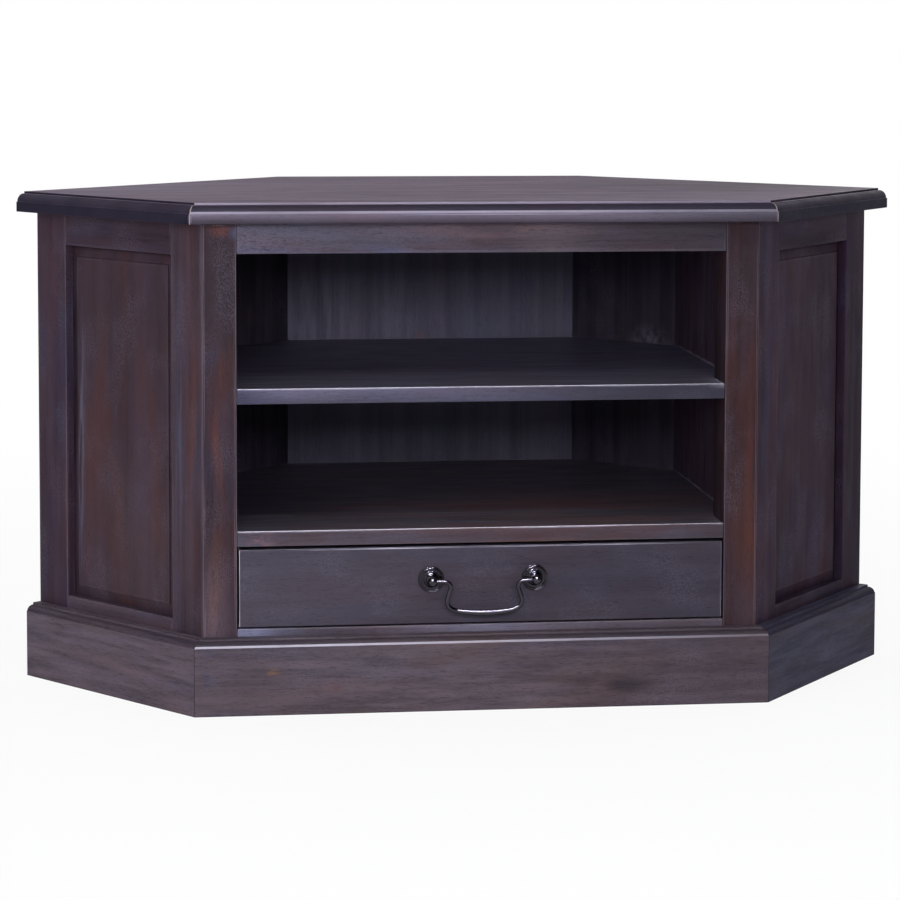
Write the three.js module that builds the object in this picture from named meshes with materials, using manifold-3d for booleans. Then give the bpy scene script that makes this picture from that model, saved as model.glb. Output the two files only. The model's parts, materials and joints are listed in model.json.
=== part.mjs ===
// Corner television cabinet in dark stained hardwood.
//
// Millimetres, +Z up, +Y to the room corner, the front faces -Y. The origin is on the floor, under the
// middle of the top. In plan the cabinet is a hexagon: a straight front, two wings that run back to the
// widest corners, two back sides that stand against the walls of a room corner, and a flat back.

import * as THREE from 'three';
import { mergeVertices } from 'three/addons/utils/BufferGeometryUtils.js';
import Module from 'manifold-3d';

const wasm = await Module();
wasm.setup();

// Overall sizes
const topWidth = 900;
const topDepth = 495;
const cabinetHeight = 494;
const frontEdgeWidth = 568;
const wingSetback = 214;
const roomCornerAngle = Math.PI / 2;

// Clearances
const fit = 0.3;
const cutOverrun = 2;

// Top board and its moulded edge, from the fascia up
const topThickness = 20;
const topFascia = 10;
const topOvoloHeight = 8;
const topOvoloDepth = 8.5;
const topQuirk = 1.2;
const topFilletStep = 1.2;

// How far the body stands in from the top's edges
const bodySetback = 25;
const backSetback = 4;

// Plinth boards, planted on the body, with a smaller moulding on their upper edge
const plinthProud = 19;
const plinthHeight = 74;
const plinthOvoloHeight = 5;
const plinthOvoloDepth = 8;
const plinthFillet = 2;
const plinthQuirk = 0.9;

// Front frame
const frameThickness = 20;
const postFaceWidth = 33;
const postDepth = 52;
const frontTopRailHeight = 30;
const frontBottomRailReveal = 7;
const railFloorGap = 20;

// Wing frames and their fielded panels
const stileWidth = 46;
const wingTopRailHeight = 32.5;
const wingBottomReveal = 12;
const grooveWidth = 6;
const grooveDepth = 8;
const grooveFromFace = 10;
const panelEdgeGap = 1;
const panelBevelWidth = 11;
const panelBevelRise = 3;
const panelShoulder = 1.8;

// Inside: partitions, shelves and the board under the drawer
const partitionSetback = 18;
const partitionThickness = 14;
const dadoDepth = 5;
const shelfThickness = 15;
const shelfSetback = 1;
const upperBayHeight = 130;
const bottomBoardThickness = 12;

// Back: plywood panels behind a frame of posts and rails
const backFrameThickness = 12;
const plywoodThickness = 6;
const backPostLeg = 38;
const backTopRailHeight = 40;
const backBottomRailHeight = 60;
const cornerPostSize = 30;

// Cleats and screws that hold the top down
const cleatSize = 18;
const cleatEndGap = 30;
const screwEndDistance = 40;
const screwShankRadius = 2.2;
const screwHeadRadius = 4.2;
const screwHeadHeight = 2.6;
const screwBite = 12;

// Drawer
const drawerSideGap = 2;
const drawerBottomGap = 1.9;
const drawerTopGap = 3.1;
const drawerFrontHeight = 75;
const drawerSideHeight = 62;
const drawerSideThickness = 12;
const drawerBottomThickness = 6;
const drawerBottomLift = 8;
const drawerGrooveDepth = 6;
const drawerRearClearance = 30;

// Drawer runners and stop
const runnerWidth = 15;
const runnerThickness = 5.3;
const guideHeight = 28;
const guideClearance = 1.3;
const stopWidth = 50;
const stopDepth = 16;
const stopHeight = 20;

// Drop handle: two ringed rosettes, two studs with eyes and a swan-neck bail
const handleSpacing = 101.6;
const handleAboveMiddle = 5.65;
const rosetteRadius = 12.8;
const rosetteRimHeight = 2.2;
const rosetteDomeHeight = 4.4;
const rosetteRingHeight = 0.9;
const studProjection = 14;
const studCollarRadius = 4.2;
const studNeckRadius = 2.8;
const studBallRadius = 4.9;
const studShankRadius = 2;
const studTail = 9;
const eyeRadius = 2.4;
const nutRadius = 5;
const nutThickness = 4;
const bailEndRadius = 1.9;
const bailNeckRadius = 2.2;
const bailGripRadius = 3.1;
const bailEndBeyond = 1.6;
const bailArmLength = 17.9;
const bailArmOut = 8;
const bailArmSag = 0.2;
const bailShoulderOut = 2.4;
const bailShoulderDrop = 1.2;
const bailNeckDrop = 5;
const bailWaistOut = 1.5;
const bailWaistDrop = 11;
const bailHipOut = 3.7;
const bailHipDrop = 19;
const bailCornerOut = 2;
const bailCornerDrop = 24.6;
const bailGripEndIn = 4.2;
const bailGripEndDrop = 28.2;
const bailDrop = 30.2;
const bailGripSag = 0.8;

// Round stretches are cut into this many steps
const ovoloSteps = 6;
const turnedSides = 40;
const bailSides = 12;
const bailSteps = 64;

// Worked out from the sizes above
const halfFront = frontEdgeWidth / 2;
const frontEdgeY = -topDepth / 2;
const backEdgeY = topDepth / 2;
const wingCornerY = frontEdgeY + wingSetback;
const halfBack = topWidth / 2 - (backEdgeY - wingCornerY) * Math.tan(roomCornerAngle / 2);
const wingAngle = Math.atan2(wingSetback, topWidth / 2 - halfFront);
const rearTurn = Math.PI - roomCornerAngle / 2 - wingAngle;
const mitreSlope = Math.tan(wingAngle / 2);
const bodyTop = cabinetHeight - topThickness;
const frameTop = bodyTop - fit;
const bodyFrontY = frontEdgeY + bodySetback;

// Plan of the right half of the top, front corner to back corner
const planFront = new THREE.Vector2(halfFront, frontEdgeY);
const planWing = new THREE.Vector2(topWidth / 2, wingCornerY);
const planBack = new THREE.Vector2(halfBack, backEdgeY);

// A straight side of the plan, moved in from the edge of the top
function sideLine(from, to, inset) {
  const along = to.clone().sub(from).normalize();
  const inward = new THREE.Vector2(-along.y, along.x);
  return { point: from.clone().addScaledVector(inward, inset), along };
}

function meet(first, second) {
  const across = second.point.clone().sub(first.point);
  const run = across.cross(second.along) / first.along.cross(second.along);
  return first.point.clone().addScaledVector(first.along, run);
}

function frontLine(inset) {
  return { point: new THREE.Vector2(0, frontEdgeY + inset), along: new THREE.Vector2(1, 0) };
}

function backLine(inset) {
  return { point: new THREE.Vector2(0, backEdgeY - inset), along: new THREE.Vector2(-1, 0) };
}

function wingLine(inset) {
  return sideLine(planFront, planWing, inset);
}

function diagonalLine(inset) {
  return sideLine(planWing, planBack, inset);
}

function verticalLine(x) {
  return { point: new THREE.Vector2(x, 0), along: new THREE.Vector2(0, 1) };
}

const bodyFrontCorner = meet(frontLine(bodySetback), wingLine(bodySetback));
const bodyWingCorner = meet(wingLine(bodySetback), diagonalLine(backSetback));
const wingLength = bodyFrontCorner.distanceTo(bodyWingCorner);
const openingHalf = bodyFrontCorner.x - postFaceWidth;
const openingTop = bodyTop - frontTopRailHeight;
const postRearY = bodyFrontY + postDepth;
const partitionFace = openingHalf + partitionSetback;
const bottomRailTop = plinthHeight + frontBottomRailReveal;
const drawerFloor = bottomRailTop + drawerBottomGap;
const lowerShelfBottom = drawerFloor + drawerFrontHeight + drawerTopGap;
const middleShelfBottom = openingTop - upperBayHeight - shelfThickness;
const bottomBoardTop = drawerFloor - fit - runnerThickness - fit;
const bottomBoardBottom = bottomBoardTop - bottomBoardThickness;
const wingInner = bodySetback + frameThickness + fit;
const frameInner = backSetback + backFrameThickness;
const plywoodOuter = frameInner + fit;
const plywoodInner = plywoodOuter + plywoodThickness;
const drawerHalf = openingHalf - drawerSideGap;
const drawerRearY = meet(diagonalLine(plywoodInner), verticalLine(drawerHalf)).y - drawerRearClearance;
const drawerLength = drawerRearY - bodyFrontY;

// Finishes
function finish(color, roughness, metalness) {
  return new THREE.MeshStandardMaterial({ color, roughness, metalness });
}

const finishes = {
  topWood: () => finish('#4a444d', 0.35, 0),
  bodyWood: () => finish('#3c2f34', 0.45, 0),
  drawerWood: () => finish('#46404a', 0.4, 0),
  shelfWood: () => finish('#34303a', 0.4, 0),
  panelWood: () => finish('#3a3440', 0.55, 0),
  innerWood: () => finish('#5a4438', 0.7, 0),
  plywood: () => finish('#2c2326', 0.7, 0),
  handleMetal: () => finish('#1c1a1d', 0.3, 0.9),
  screwSteel: () => finish('#8a8a8c', 0.4, 1),
};

// Geometry helpers
function prism(outline, height) {
  return new THREE.ExtrudeGeometry(new THREE.Shape(outline), { depth: height, bevelEnabled: false });
}

function block(lowX, highX, lowY, highY, height) {
  const geometry = new THREE.BoxGeometry(highX - lowX, highY - lowY, height);
  return geometry.translate((lowX + highX) / 2, (lowY + highY) / 2, height / 2);
}

function mirrored(outline, side) {
  return outline.map((point) => new THREE.Vector2(side * point.x, point.y));
}

function signedVolume(positions, triangles) {
  const corners = [new THREE.Vector3(), new THREE.Vector3(), new THREE.Vector3()];
  let volume = 0;
  for (const triangle of triangles) {
    triangle.forEach((vertex, i) => corners[i].copy(positions[vertex]));
    volume += corners[0].dot(corners[1].cross(corners[2]));
  }
  return volume;
}

// A closed skin over a row of rings that have the same number of points. The cap outline gives the
// shape of the end rings in two dimensions.
function loft(rings, capOutline) {
  const count = rings[0].length;
  const positions = rings.flat();
  const triangles = [];
  for (let ring = 0; ring + 1 < rings.length; ring += 1) {
    for (let i = 0; i < count; i += 1) {
      const next = (i + 1) % count;
      const a = ring * count + i;
      const b = ring * count + next;
      triangles.push([a, b, b + count], [a, b + count, a + count]);
    }
  }
  const caps = THREE.ShapeUtils.triangulateShape(capOutline, []);
  const clockwise = THREE.ShapeUtils.area(capOutline) < 0;
  const lastRing = (rings.length - 1) * count;
  for (const [a, b, c] of caps) {
    const near = clockwise ? [a, b, c] : [a, c, b];
    const far = clockwise ? [a, c, b] : [a, b, c];
    triangles.push(near, far.map((vertex) => vertex + lastRing));
  }
  const outward = signedVolume(positions, triangles) > 0;
  const geometry = new THREE.BufferGeometry();
  geometry.setAttribute('position', new THREE.Float32BufferAttribute(positions.flatMap((p) => p.toArray()), 3));
  geometry.setIndex(triangles.flatMap(([a, b, c]) => (outward ? [a, b, c] : [a, c, b])));
  geometry.computeVertexNormals();
  return geometry;
}

function solidOf(geometry) {
  const bare = geometry.clone();
  bare.deleteAttribute('normal');
  bare.deleteAttribute('uv');
  const merged = mergeVertices(bare);
  const vertProperties = new Float32Array(merged.attributes.position.array);
  const triVerts = new Uint32Array(merged.index.array);
  return new wasm.Manifold(new wasm.Mesh({ numProp: 3, vertProperties, triVerts }));
}

function geometryOf(solid) {
  const mesh = solid.getMesh();
  const geometry = new THREE.BufferGeometry();
  geometry.setAttribute('position', new THREE.BufferAttribute(mesh.vertProperties, 3));
  geometry.setIndex(new THREE.BufferAttribute(mesh.triVerts, 1));
  geometry.computeVertexNormals();
  return geometry;
}

function cut(geometry, tools) {
  return geometryOf(tools.reduce((rest, tool) => rest.subtract(solidOf(tool)), solidOf(geometry)));
}

function joined(first, second) {
  return geometryOf(solidOf(first).add(solidOf(second)));
}

function place(parent, name, geometry, material, x = 0, y = 0, z = 0) {
  const mesh = new THREE.Mesh(geometry, material);
  mesh.name = name;
  mesh.position.set(x, y, z);
  parent.add(mesh);
  return mesh;
}

function sideName(side) {
  return side > 0 ? 'right' : 'left';
}

const bothSides = [-1, 1];

// A moulded edge as inset and height: fascia, quirk, convex quarter round, then a square fillet
function mouldedEdge(fasciaTop, ovoloDepth, ovoloHeight, quirk, filletStep, filletTop) {
  const edge = [new THREE.Vector2(0, fasciaTop)];
  for (let step = 0; step <= ovoloSteps; step += 1) {
    const turn = (Math.PI / 2) * (step / ovoloSteps);
    const inset = quirk + ovoloDepth * (1 - Math.cos(turn));
    edge.push(new THREE.Vector2(inset, fasciaTop + ovoloHeight * Math.sin(turn)));
  }
  edge.push(new THREE.Vector2(quirk + ovoloDepth + filletStep, fasciaTop + ovoloHeight));
  edge.push(new THREE.Vector2(quirk + ovoloDepth + filletStep, filletTop));
  return edge;
}

// Where the cleats' screws stand
const cleatFace = partitionFace + partitionThickness + fit;
const cleatFrontY = postRearY + cleatEndGap;
const cleatRearY = meet(diagonalLine(plywoodInner), verticalLine(cleatFace + cleatSize)).y - cleatEndGap;
const screwX = cleatFace + cleatSize / 2;
const screwYs = { front: cleatFrontY + screwEndDistance, rear: cleatRearY - screwEndDistance };

function uprightCylinder(radius, bottom, top) {
  const height = top - bottom;
  const geometry = new THREE.CylinderGeometry(radius, radius, height, turnedSides / 2);
  return geometry.rotateX(Math.PI / 2).translate(0, 0, bottom + height / 2);
}

// Top board: the moulding runs along the front and both wings, the three back edges are square
function topOutline(inset) {
  const front = meet(frontLine(inset), wingLine(inset));
  const wing = meet(wingLine(inset), diagonalLine(0));
  const right = [front, wing, planBack];
  return [...right, ...mirrored(right, -1).reverse()];
}

function buildTop(cabinet) {
  const edge = [
    new THREE.Vector2(0, 0),
    ...mouldedEdge(topFascia, topOvoloDepth, topOvoloHeight, topQuirk, topFilletStep, topThickness),
  ];
  const rings = edge.map(({ x, y }) => topOutline(x).map((point) => new THREE.Vector3(point.x, point.y, y)));
  const holes = [];
  for (const side of bothSides) {
    for (const y of Object.values(screwYs)) {
      const hole = uprightCylinder(screwShankRadius + fit, -cutOverrun, screwBite + fit);
      holes.push(hole.translate(side * screwX, y, 0));
    }
  }
  place(cabinet, 'top_board', cut(loft(rings, topOutline(0)), holes), finishes.topWood(), 0, 0, bodyTop);
}

// Front frame: a shaped post at each corner, a rail under the top and one under the drawer
function buildFrontFrame(cabinet) {
  const behindStile = wingLine(wingInner);
  const postOutline = [
    new THREE.Vector2(openingHalf, bodyFrontY),
    bodyFrontCorner,
    meet(frontLine(wingInner), behindStile),
    meet(behindStile, { point: new THREE.Vector2(0, postRearY), along: new THREE.Vector2(1, 0) }),
    new THREE.Vector2(openingHalf, postRearY),
  ];
  for (const side of bothSides) {
    const outline = mirrored(postOutline, side);
    place(cabinet, `front_post_${sideName(side)}`, prism(outline, frameTop), finishes.bodyWood());
  }
  const railHalf = openingHalf - fit;
  const railBackY = bodyFrontY + frameThickness;
  const topRail = block(-railHalf, railHalf, bodyFrontY, railBackY, frameTop - openingTop);
  place(cabinet, 'front_top_rail', topRail, finishes.bodyWood(), 0, 0, openingTop);
  const bottomRail = block(-railHalf, railHalf, bodyFrontY, railBackY, bottomRailTop - railFloorGap);
  place(cabinet, 'front_bottom_rail', bottomRail, finishes.bodyWood(), 0, 0, railFloorGap);
}

// One wing, built along its own face: x runs back from the front corner, y runs into the cabinet
function buildWing(cabinet, side) {
  const wing = new THREE.Group();
  wing.position.set(side * bodyFrontCorner.x, bodyFrontCorner.y, 0);
  wing.rotation.z = side * wingAngle;
  cabinet.add(wing);

  const nameOf = (piece) => `${piece}_${sideName(side)}`;
  const outlineOf = (points) => points.map(([run, depth]) => new THREE.Vector2(side * run, depth));
  const grooveBack = grooveFromFace + grooveWidth;
  const panelFront = stileWidth;
  const panelRear = wingLength - stileWidth;
  const rearSlope = 1 / Math.tan(rearTurn);
  const mitreRun = frameThickness * mitreSlope;

  const frontStile = outlineOf([
    [fit, 0], [panelFront, 0],
    [panelFront, grooveFromFace], [panelFront - grooveDepth, grooveFromFace],
    [panelFront - grooveDepth, grooveBack], [panelFront, grooveBack],
    [panelFront, frameThickness], [mitreRun + fit, frameThickness],
  ]);
  place(wing, nameOf('wing_front_stile'), prism(frontStile, frameTop), finishes.bodyWood());

  const rearStile = outlineOf([
    [panelRear, 0], [wingLength, 0], [wingLength + frameThickness * rearSlope, frameThickness],
    [panelRear, frameThickness], [panelRear, grooveBack], [panelRear + grooveDepth, grooveBack],
    [panelRear + grooveDepth, grooveFromFace], [panelRear, grooveFromFace],
  ]);
  place(wing, nameOf('wing_rear_stile'), prism(rearStile, frameTop), finishes.bodyWood());

  // Rails have a stub tongue at each end, and a groove along the edge that holds the panel
  const tongueReach = grooveDepth - fit;
  const railFront = panelFront + fit;
  const railRear = panelRear - fit;
  const tongueFace = grooveFromFace + fit;
  const tongueBack = grooveBack - fit;
  const railOutline = outlineOf([
    [railFront, 0], [railRear, 0], [railRear, tongueFace], [panelRear + tongueReach, tongueFace],
    [panelRear + tongueReach, tongueBack], [railRear, tongueBack], [railRear, frameThickness],
    [railFront, frameThickness], [railFront, tongueBack], [panelFront - tongueReach, tongueBack],
    [panelFront - tongueReach, tongueFace], [railFront, tongueFace],
  ]);
  const grooveOutline = outlineOf([
    [-cutOverrun, grooveFromFace], [wingLength, grooveFromFace],
    [wingLength, grooveBack], [-cutOverrun, grooveBack],
  ]);
  const topRailBottom = bodyTop - wingTopRailHeight;
  const bottomRailTopEdge = plinthHeight + wingBottomReveal;
  const railGroove = prism(grooveOutline, grooveDepth + cutOverrun);

  const topRail = cut(prism(railOutline, frameTop - topRailBottom), [railGroove.clone().translate(0, 0, -cutOverrun)]);
  place(wing, nameOf('wing_top_rail'), topRail, finishes.bodyWood(), 0, 0, topRailBottom);
  const bottomRailHeight = bottomRailTopEdge - railFloorGap;
  const bottomGroove = railGroove.clone().translate(0, 0, bottomRailHeight - grooveDepth);
  const bottomRail = cut(prism(railOutline, bottomRailHeight), [bottomGroove]);
  place(wing, nameOf('wing_bottom_rail'), bottomRail, finishes.bodyWood(), 0, 0, railFloorGap);

  // Fielded panel: a thin tongue in the grooves, a bevelled border and a raised field
  const reach = grooveDepth - panelEdgeGap;
  const bevelStart = reach + fit;
  const bevelEnd = bevelStart + panelBevelWidth;
  const steps = [
    [0, grooveBack - fit], [0, grooveFromFace + fit], [bevelStart, grooveFromFace + fit],
    [bevelEnd, grooveFromFace + fit - panelBevelRise],
    [bevelEnd, grooveFromFace + fit - panelBevelRise - panelShoulder],
  ];
  const rectangle = (inset, depth) => {
    const low = panelFront - reach + inset;
    const high = panelRear + reach - inset;
    const bottom = bottomRailTopEdge - reach + inset;
    const top = topRailBottom + reach - inset;
    return [[low, bottom], [high, bottom], [high, top], [low, top]]
      .map(([run, z]) => new THREE.Vector3(side * run, depth, z));
  };
  const rings = steps.map(([inset, depth]) => rectangle(inset, depth));
  const capOutline = rings[0].map(({ x, z }) => new THREE.Vector2(x, z));
  place(wing, nameOf('wing_panel'), loft(rings, capOutline), finishes.bodyWood());

  // Plinth board of this wing, mitred to the front one
  const profile = plinthProfile();
  const nearRing = profile.map(({ x, y }) => new THREE.Vector3(side * (x * mitreSlope + fit), x, y));
  const farRing = profile.map(({ x, y }) => new THREE.Vector3(side * (wingLength + x * rearSlope), x, y));
  place(wing, `plinth_${sideName(side)}`, loft([nearRing, farRing], profile), finishes.bodyWood());
}

// Section of a plinth board: x is the depth behind the body's face, y is the height
function plinthProfile() {
  const fasciaTop = plinthHeight - plinthFillet - plinthOvoloHeight;
  const edge = mouldedEdge(fasciaTop, plinthOvoloDepth, plinthOvoloHeight, plinthQuirk, 0, plinthHeight);
  const outline = [
    new THREE.Vector2(0, 0), ...edge,
    new THREE.Vector2(plinthProud - fit, plinthHeight), new THREE.Vector2(plinthProud - fit, 0),
  ];
  const unlike = outline.filter((point, i) => i === 0 || !point.equals(outline[i - 1]));
  return unlike.map((point) => new THREE.Vector2(point.x - plinthProud, point.y));
}

function buildFrontPlinth(cabinet) {
  const profile = plinthProfile();
  const ringAt = (side) => profile.map(({ x, y }) => (
    new THREE.Vector3(side * (bodyFrontCorner.x - x * mitreSlope - fit), bodyFrontY + x, y)
  ));
  place(cabinet, 'plinth_front', loft([ringAt(-1), ringAt(1)], profile), finishes.bodyWood());
}

// Boards that fill the plan between the partitions: they pass between the posts and end in dados
function shelfOutline(frontY) {
  const betweenPosts = openingHalf - fit;
  const inDado = partitionFace + dadoDepth - fit;
  const atDiagonal = diagonalLine(plywoodInner + fit);
  const right = [
    new THREE.Vector2(betweenPosts, frontY),
    new THREE.Vector2(betweenPosts, postRearY + fit),
    new THREE.Vector2(inDado, postRearY + fit),
    meet(atDiagonal, verticalLine(inDado)),
    meet(atDiagonal, backLine(plywoodInner + fit)),
  ];
  return [...right, ...mirrored(right, -1).reverse()];
}

function buildInside(cabinet) {
  const shelf = prism(shelfOutline(bodyFrontY + shelfSetback), shelfThickness);
  place(cabinet, 'middle_shelf', shelf, finishes.shelfWood(), 0, 0, middleShelfBottom);
  place(cabinet, 'lower_shelf', shelf.clone(), finishes.shelfWood(), 0, 0, lowerShelfBottom);
  const bottomBoard = prism(shelfOutline(bodyFrontY + frameThickness + fit), bottomBoardThickness);
  place(cabinet, 'bottom_board', bottomBoard, finishes.innerWood(), 0, 0, bottomBoardBottom);

  const boards = [
    [middleShelfBottom, shelfThickness],
    [lowerShelfBottom, shelfThickness],
    [bottomBoardBottom, bottomBoardThickness],
  ];
  for (const side of bothSides) {
    const outer = partitionFace + partitionThickness;
    const atDiagonal = diagonalLine(plywoodInner + fit);
    const outline = mirrored([
      new THREE.Vector2(partitionFace, postRearY + fit),
      new THREE.Vector2(outer, postRearY + fit),
      meet(atDiagonal, verticalLine(outer)),
      meet(atDiagonal, verticalLine(partitionFace)),
    ], side);
    const dadoEnds = [side * (partitionFace - cutOverrun), side * (partitionFace + dadoDepth)];
    const dados = boards.map(([bottom, thickness]) => {
      const low = Math.min(...dadoEnds);
      const high = Math.max(...dadoEnds);
      return block(low, high, postRearY, backEdgeY, thickness + 2 * fit).translate(0, 0, bottom - fit);
    });
    const board = cut(prism(outline, frameTop), dados);
    place(cabinet, `partition_${sideName(side)}`, board, finishes.bodyWood());
  }
}

// Runner and side guide of the drawer in one piece, and the stop behind the drawer
function buildRunners(cabinet) {
  const guideFace = drawerHalf + guideClearance;
  const guideBack = partitionFace - fit;
  const ledgeStart = drawerHalf - runnerWidth;
  const frontY = bodyFrontY + frameThickness + fit;
  const bottom = bottomBoardTop + fit;
  for (const side of bothSides) {
    const ledge = mirrored([
      new THREE.Vector2(ledgeStart, frontY), new THREE.Vector2(openingHalf - fit, frontY),
      new THREE.Vector2(openingHalf - fit, postRearY + fit), new THREE.Vector2(guideBack, postRearY + fit),
      new THREE.Vector2(guideBack, drawerRearY), new THREE.Vector2(ledgeStart, drawerRearY),
    ], side);
    const guide = mirrored([
      new THREE.Vector2(guideFace, postRearY + fit), new THREE.Vector2(guideBack, postRearY + fit),
      new THREE.Vector2(guideBack, drawerRearY), new THREE.Vector2(guideFace, drawerRearY),
    ], side);
    const runner = joined(prism(ledge, runnerThickness), prism(guide, guideHeight));
    place(cabinet, `drawer_runner_${sideName(side)}`, runner, finishes.innerWood(), 0, 0, bottom);
  }
  const stop = block(-stopWidth / 2, stopWidth / 2, drawerRearY + fit, drawerRearY + fit + stopDepth, stopHeight);
  place(cabinet, 'drawer_stop', stop, finishes.innerWood(), 0, 0, bottom);
}

// Back: three plywood panels, two bent posts and six rails outside them, and a post in each rear corner
function buildBack(cabinet) {
  const panelBottom = railFloorGap;
  const panelHeight = frameTop - panelBottom;
  const innerCorner = meet(diagonalLine(plywoodInner), backLine(plywoodInner));
  const outerCorner = meet(diagonalLine(plywoodOuter), backLine(plywoodOuter));
  const centre = [
    new THREE.Vector2(innerCorner.x - fit, innerCorner.y), new THREE.Vector2(outerCorner.x - fit, outerCorner.y),
    new THREE.Vector2(fit - outerCorner.x, outerCorner.y), new THREE.Vector2(fit - innerCorner.x, innerCorner.y),
  ];
  place(cabinet, 'back_panel_centre', prism(centre, panelHeight), finishes.panelWood(), 0, 0, panelBottom);

  const postOuter = meet(diagonalLine(backSetback), backLine(backSetback));
  const postInner = meet(diagonalLine(frameInner), backLine(frameInner));
  const diagonal = diagonalLine(backSetback).along;
  const inward = new THREE.Vector2(-diagonal.y, diagonal.x);
  const alongLeg = (distance, depth) => (
    postOuter.clone().addScaledVector(diagonal, -distance).addScaledVector(inward, depth)
  );
  const bentPost = [
    postOuter, new THREE.Vector2(postOuter.x - backPostLeg, postOuter.y),
    new THREE.Vector2(postOuter.x - backPostLeg, postInner.y), postInner,
    alongLeg(backPostLeg, backFrameThickness), alongLeg(backPostLeg, 0),
  ];
  const sideRail = [
    alongLeg(backPostLeg + fit, 0), alongLeg(backPostLeg + fit, backFrameThickness),
    meet(wingLine(wingInner), diagonalLine(frameInner)), meet(wingLine(wingInner), diagonalLine(backSetback)),
  ];
  const sidePanel = [
    meet(wingLine(wingInner), diagonalLine(plywoodInner)), meet(wingLine(wingInner), diagonalLine(plywoodOuter)),
    outerCorner, innerCorner,
  ];

  // A square post glued into the corner between the wing and the diagonal panel
  const corner = meet(wingLine(wingInner), diagonalLine(plywoodInner + fit));
  const alongWing = wingLine(wingInner).along.clone().multiplyScalar(-cornerPostSize);
  const alongDiagonal = diagonal.clone().multiplyScalar(cornerPostSize);
  const cornerPost = [
    corner, corner.clone().add(alongWing), corner.clone().add(alongWing).add(alongDiagonal),
    corner.clone().add(alongDiagonal),
  ];

  const topRailBottom = frameTop - backTopRailHeight;
  for (const side of bothSides) {
    const name = sideName(side);
    const rail = mirrored(sideRail, side);
    place(cabinet, `back_post_${name}`, prism(mirrored(bentPost, side), frameTop), finishes.bodyWood());
    place(cabinet, `rear_corner_post_${name}`, prism(mirrored(cornerPost, side), frameTop), finishes.innerWood());
    place(cabinet, `back_panel_${name}`, prism(mirrored(sidePanel, side), panelHeight),
      finishes.plywood(), 0, 0, panelBottom);
    place(cabinet, `back_top_rail_${name}`, prism(rail, backTopRailHeight),
      finishes.bodyWood(), 0, 0, topRailBottom);
    place(cabinet, `back_bottom_rail_${name}`, prism(rail, backBottomRailHeight),
      finishes.bodyWood(), 0, 0, railFloorGap);
  }
  const railHalf = postOuter.x - backPostLeg - fit;
  const centreRail = (height) => block(-railHalf, railHalf, postInner.y, postOuter.y, height);
  place(cabinet, 'back_top_rail_centre', centreRail(backTopRailHeight),
    finishes.bodyWood(), 0, 0, topRailBottom);
  place(cabinet, 'back_bottom_rail_centre', centreRail(backBottomRailHeight),
    finishes.bodyWood(), 0, 0, railFloorGap);
}

// Cleats on the partitions, each with two screws up into the top
function buildTopFixing(cabinet) {
  const cleatBottom = frameTop - cleatSize;
  const head = [
    new THREE.Vector2(0, -screwHeadHeight), new THREE.Vector2(screwHeadRadius, -screwHeadHeight),
    new THREE.Vector2(screwHeadRadius, 0), new THREE.Vector2(screwShankRadius, 0),
    new THREE.Vector2(screwShankRadius, cleatSize + fit + screwBite),
    new THREE.Vector2(0, cleatSize + fit + screwBite),
  ];
  for (const side of bothSides) {
    const ends = [side * cleatFace, side * (cleatFace + cleatSize)];
    const strip = block(Math.min(...ends), Math.max(...ends), cleatFrontY, cleatRearY, cleatSize);
    const holes = Object.values(screwYs).map((y) => (
      uprightCylinder(screwShankRadius + fit, -cutOverrun, cleatSize + cutOverrun).translate(side * screwX, y, 0)
    ));
    place(cabinet, `top_cleat_${sideName(side)}`, cut(strip, holes), finishes.innerWood(), 0, 0, cleatBottom);
    for (const [end, y] of Object.entries(screwYs)) {
      const screw = new THREE.LatheGeometry(head, turnedSides / 2).rotateX(Math.PI / 2);
      place(cabinet, `top_screw_${end}_${sideName(side)}`, screw,
        finishes.screwSteel(), side * screwX, y, cleatBottom - fit);
    }
  }
}

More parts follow.
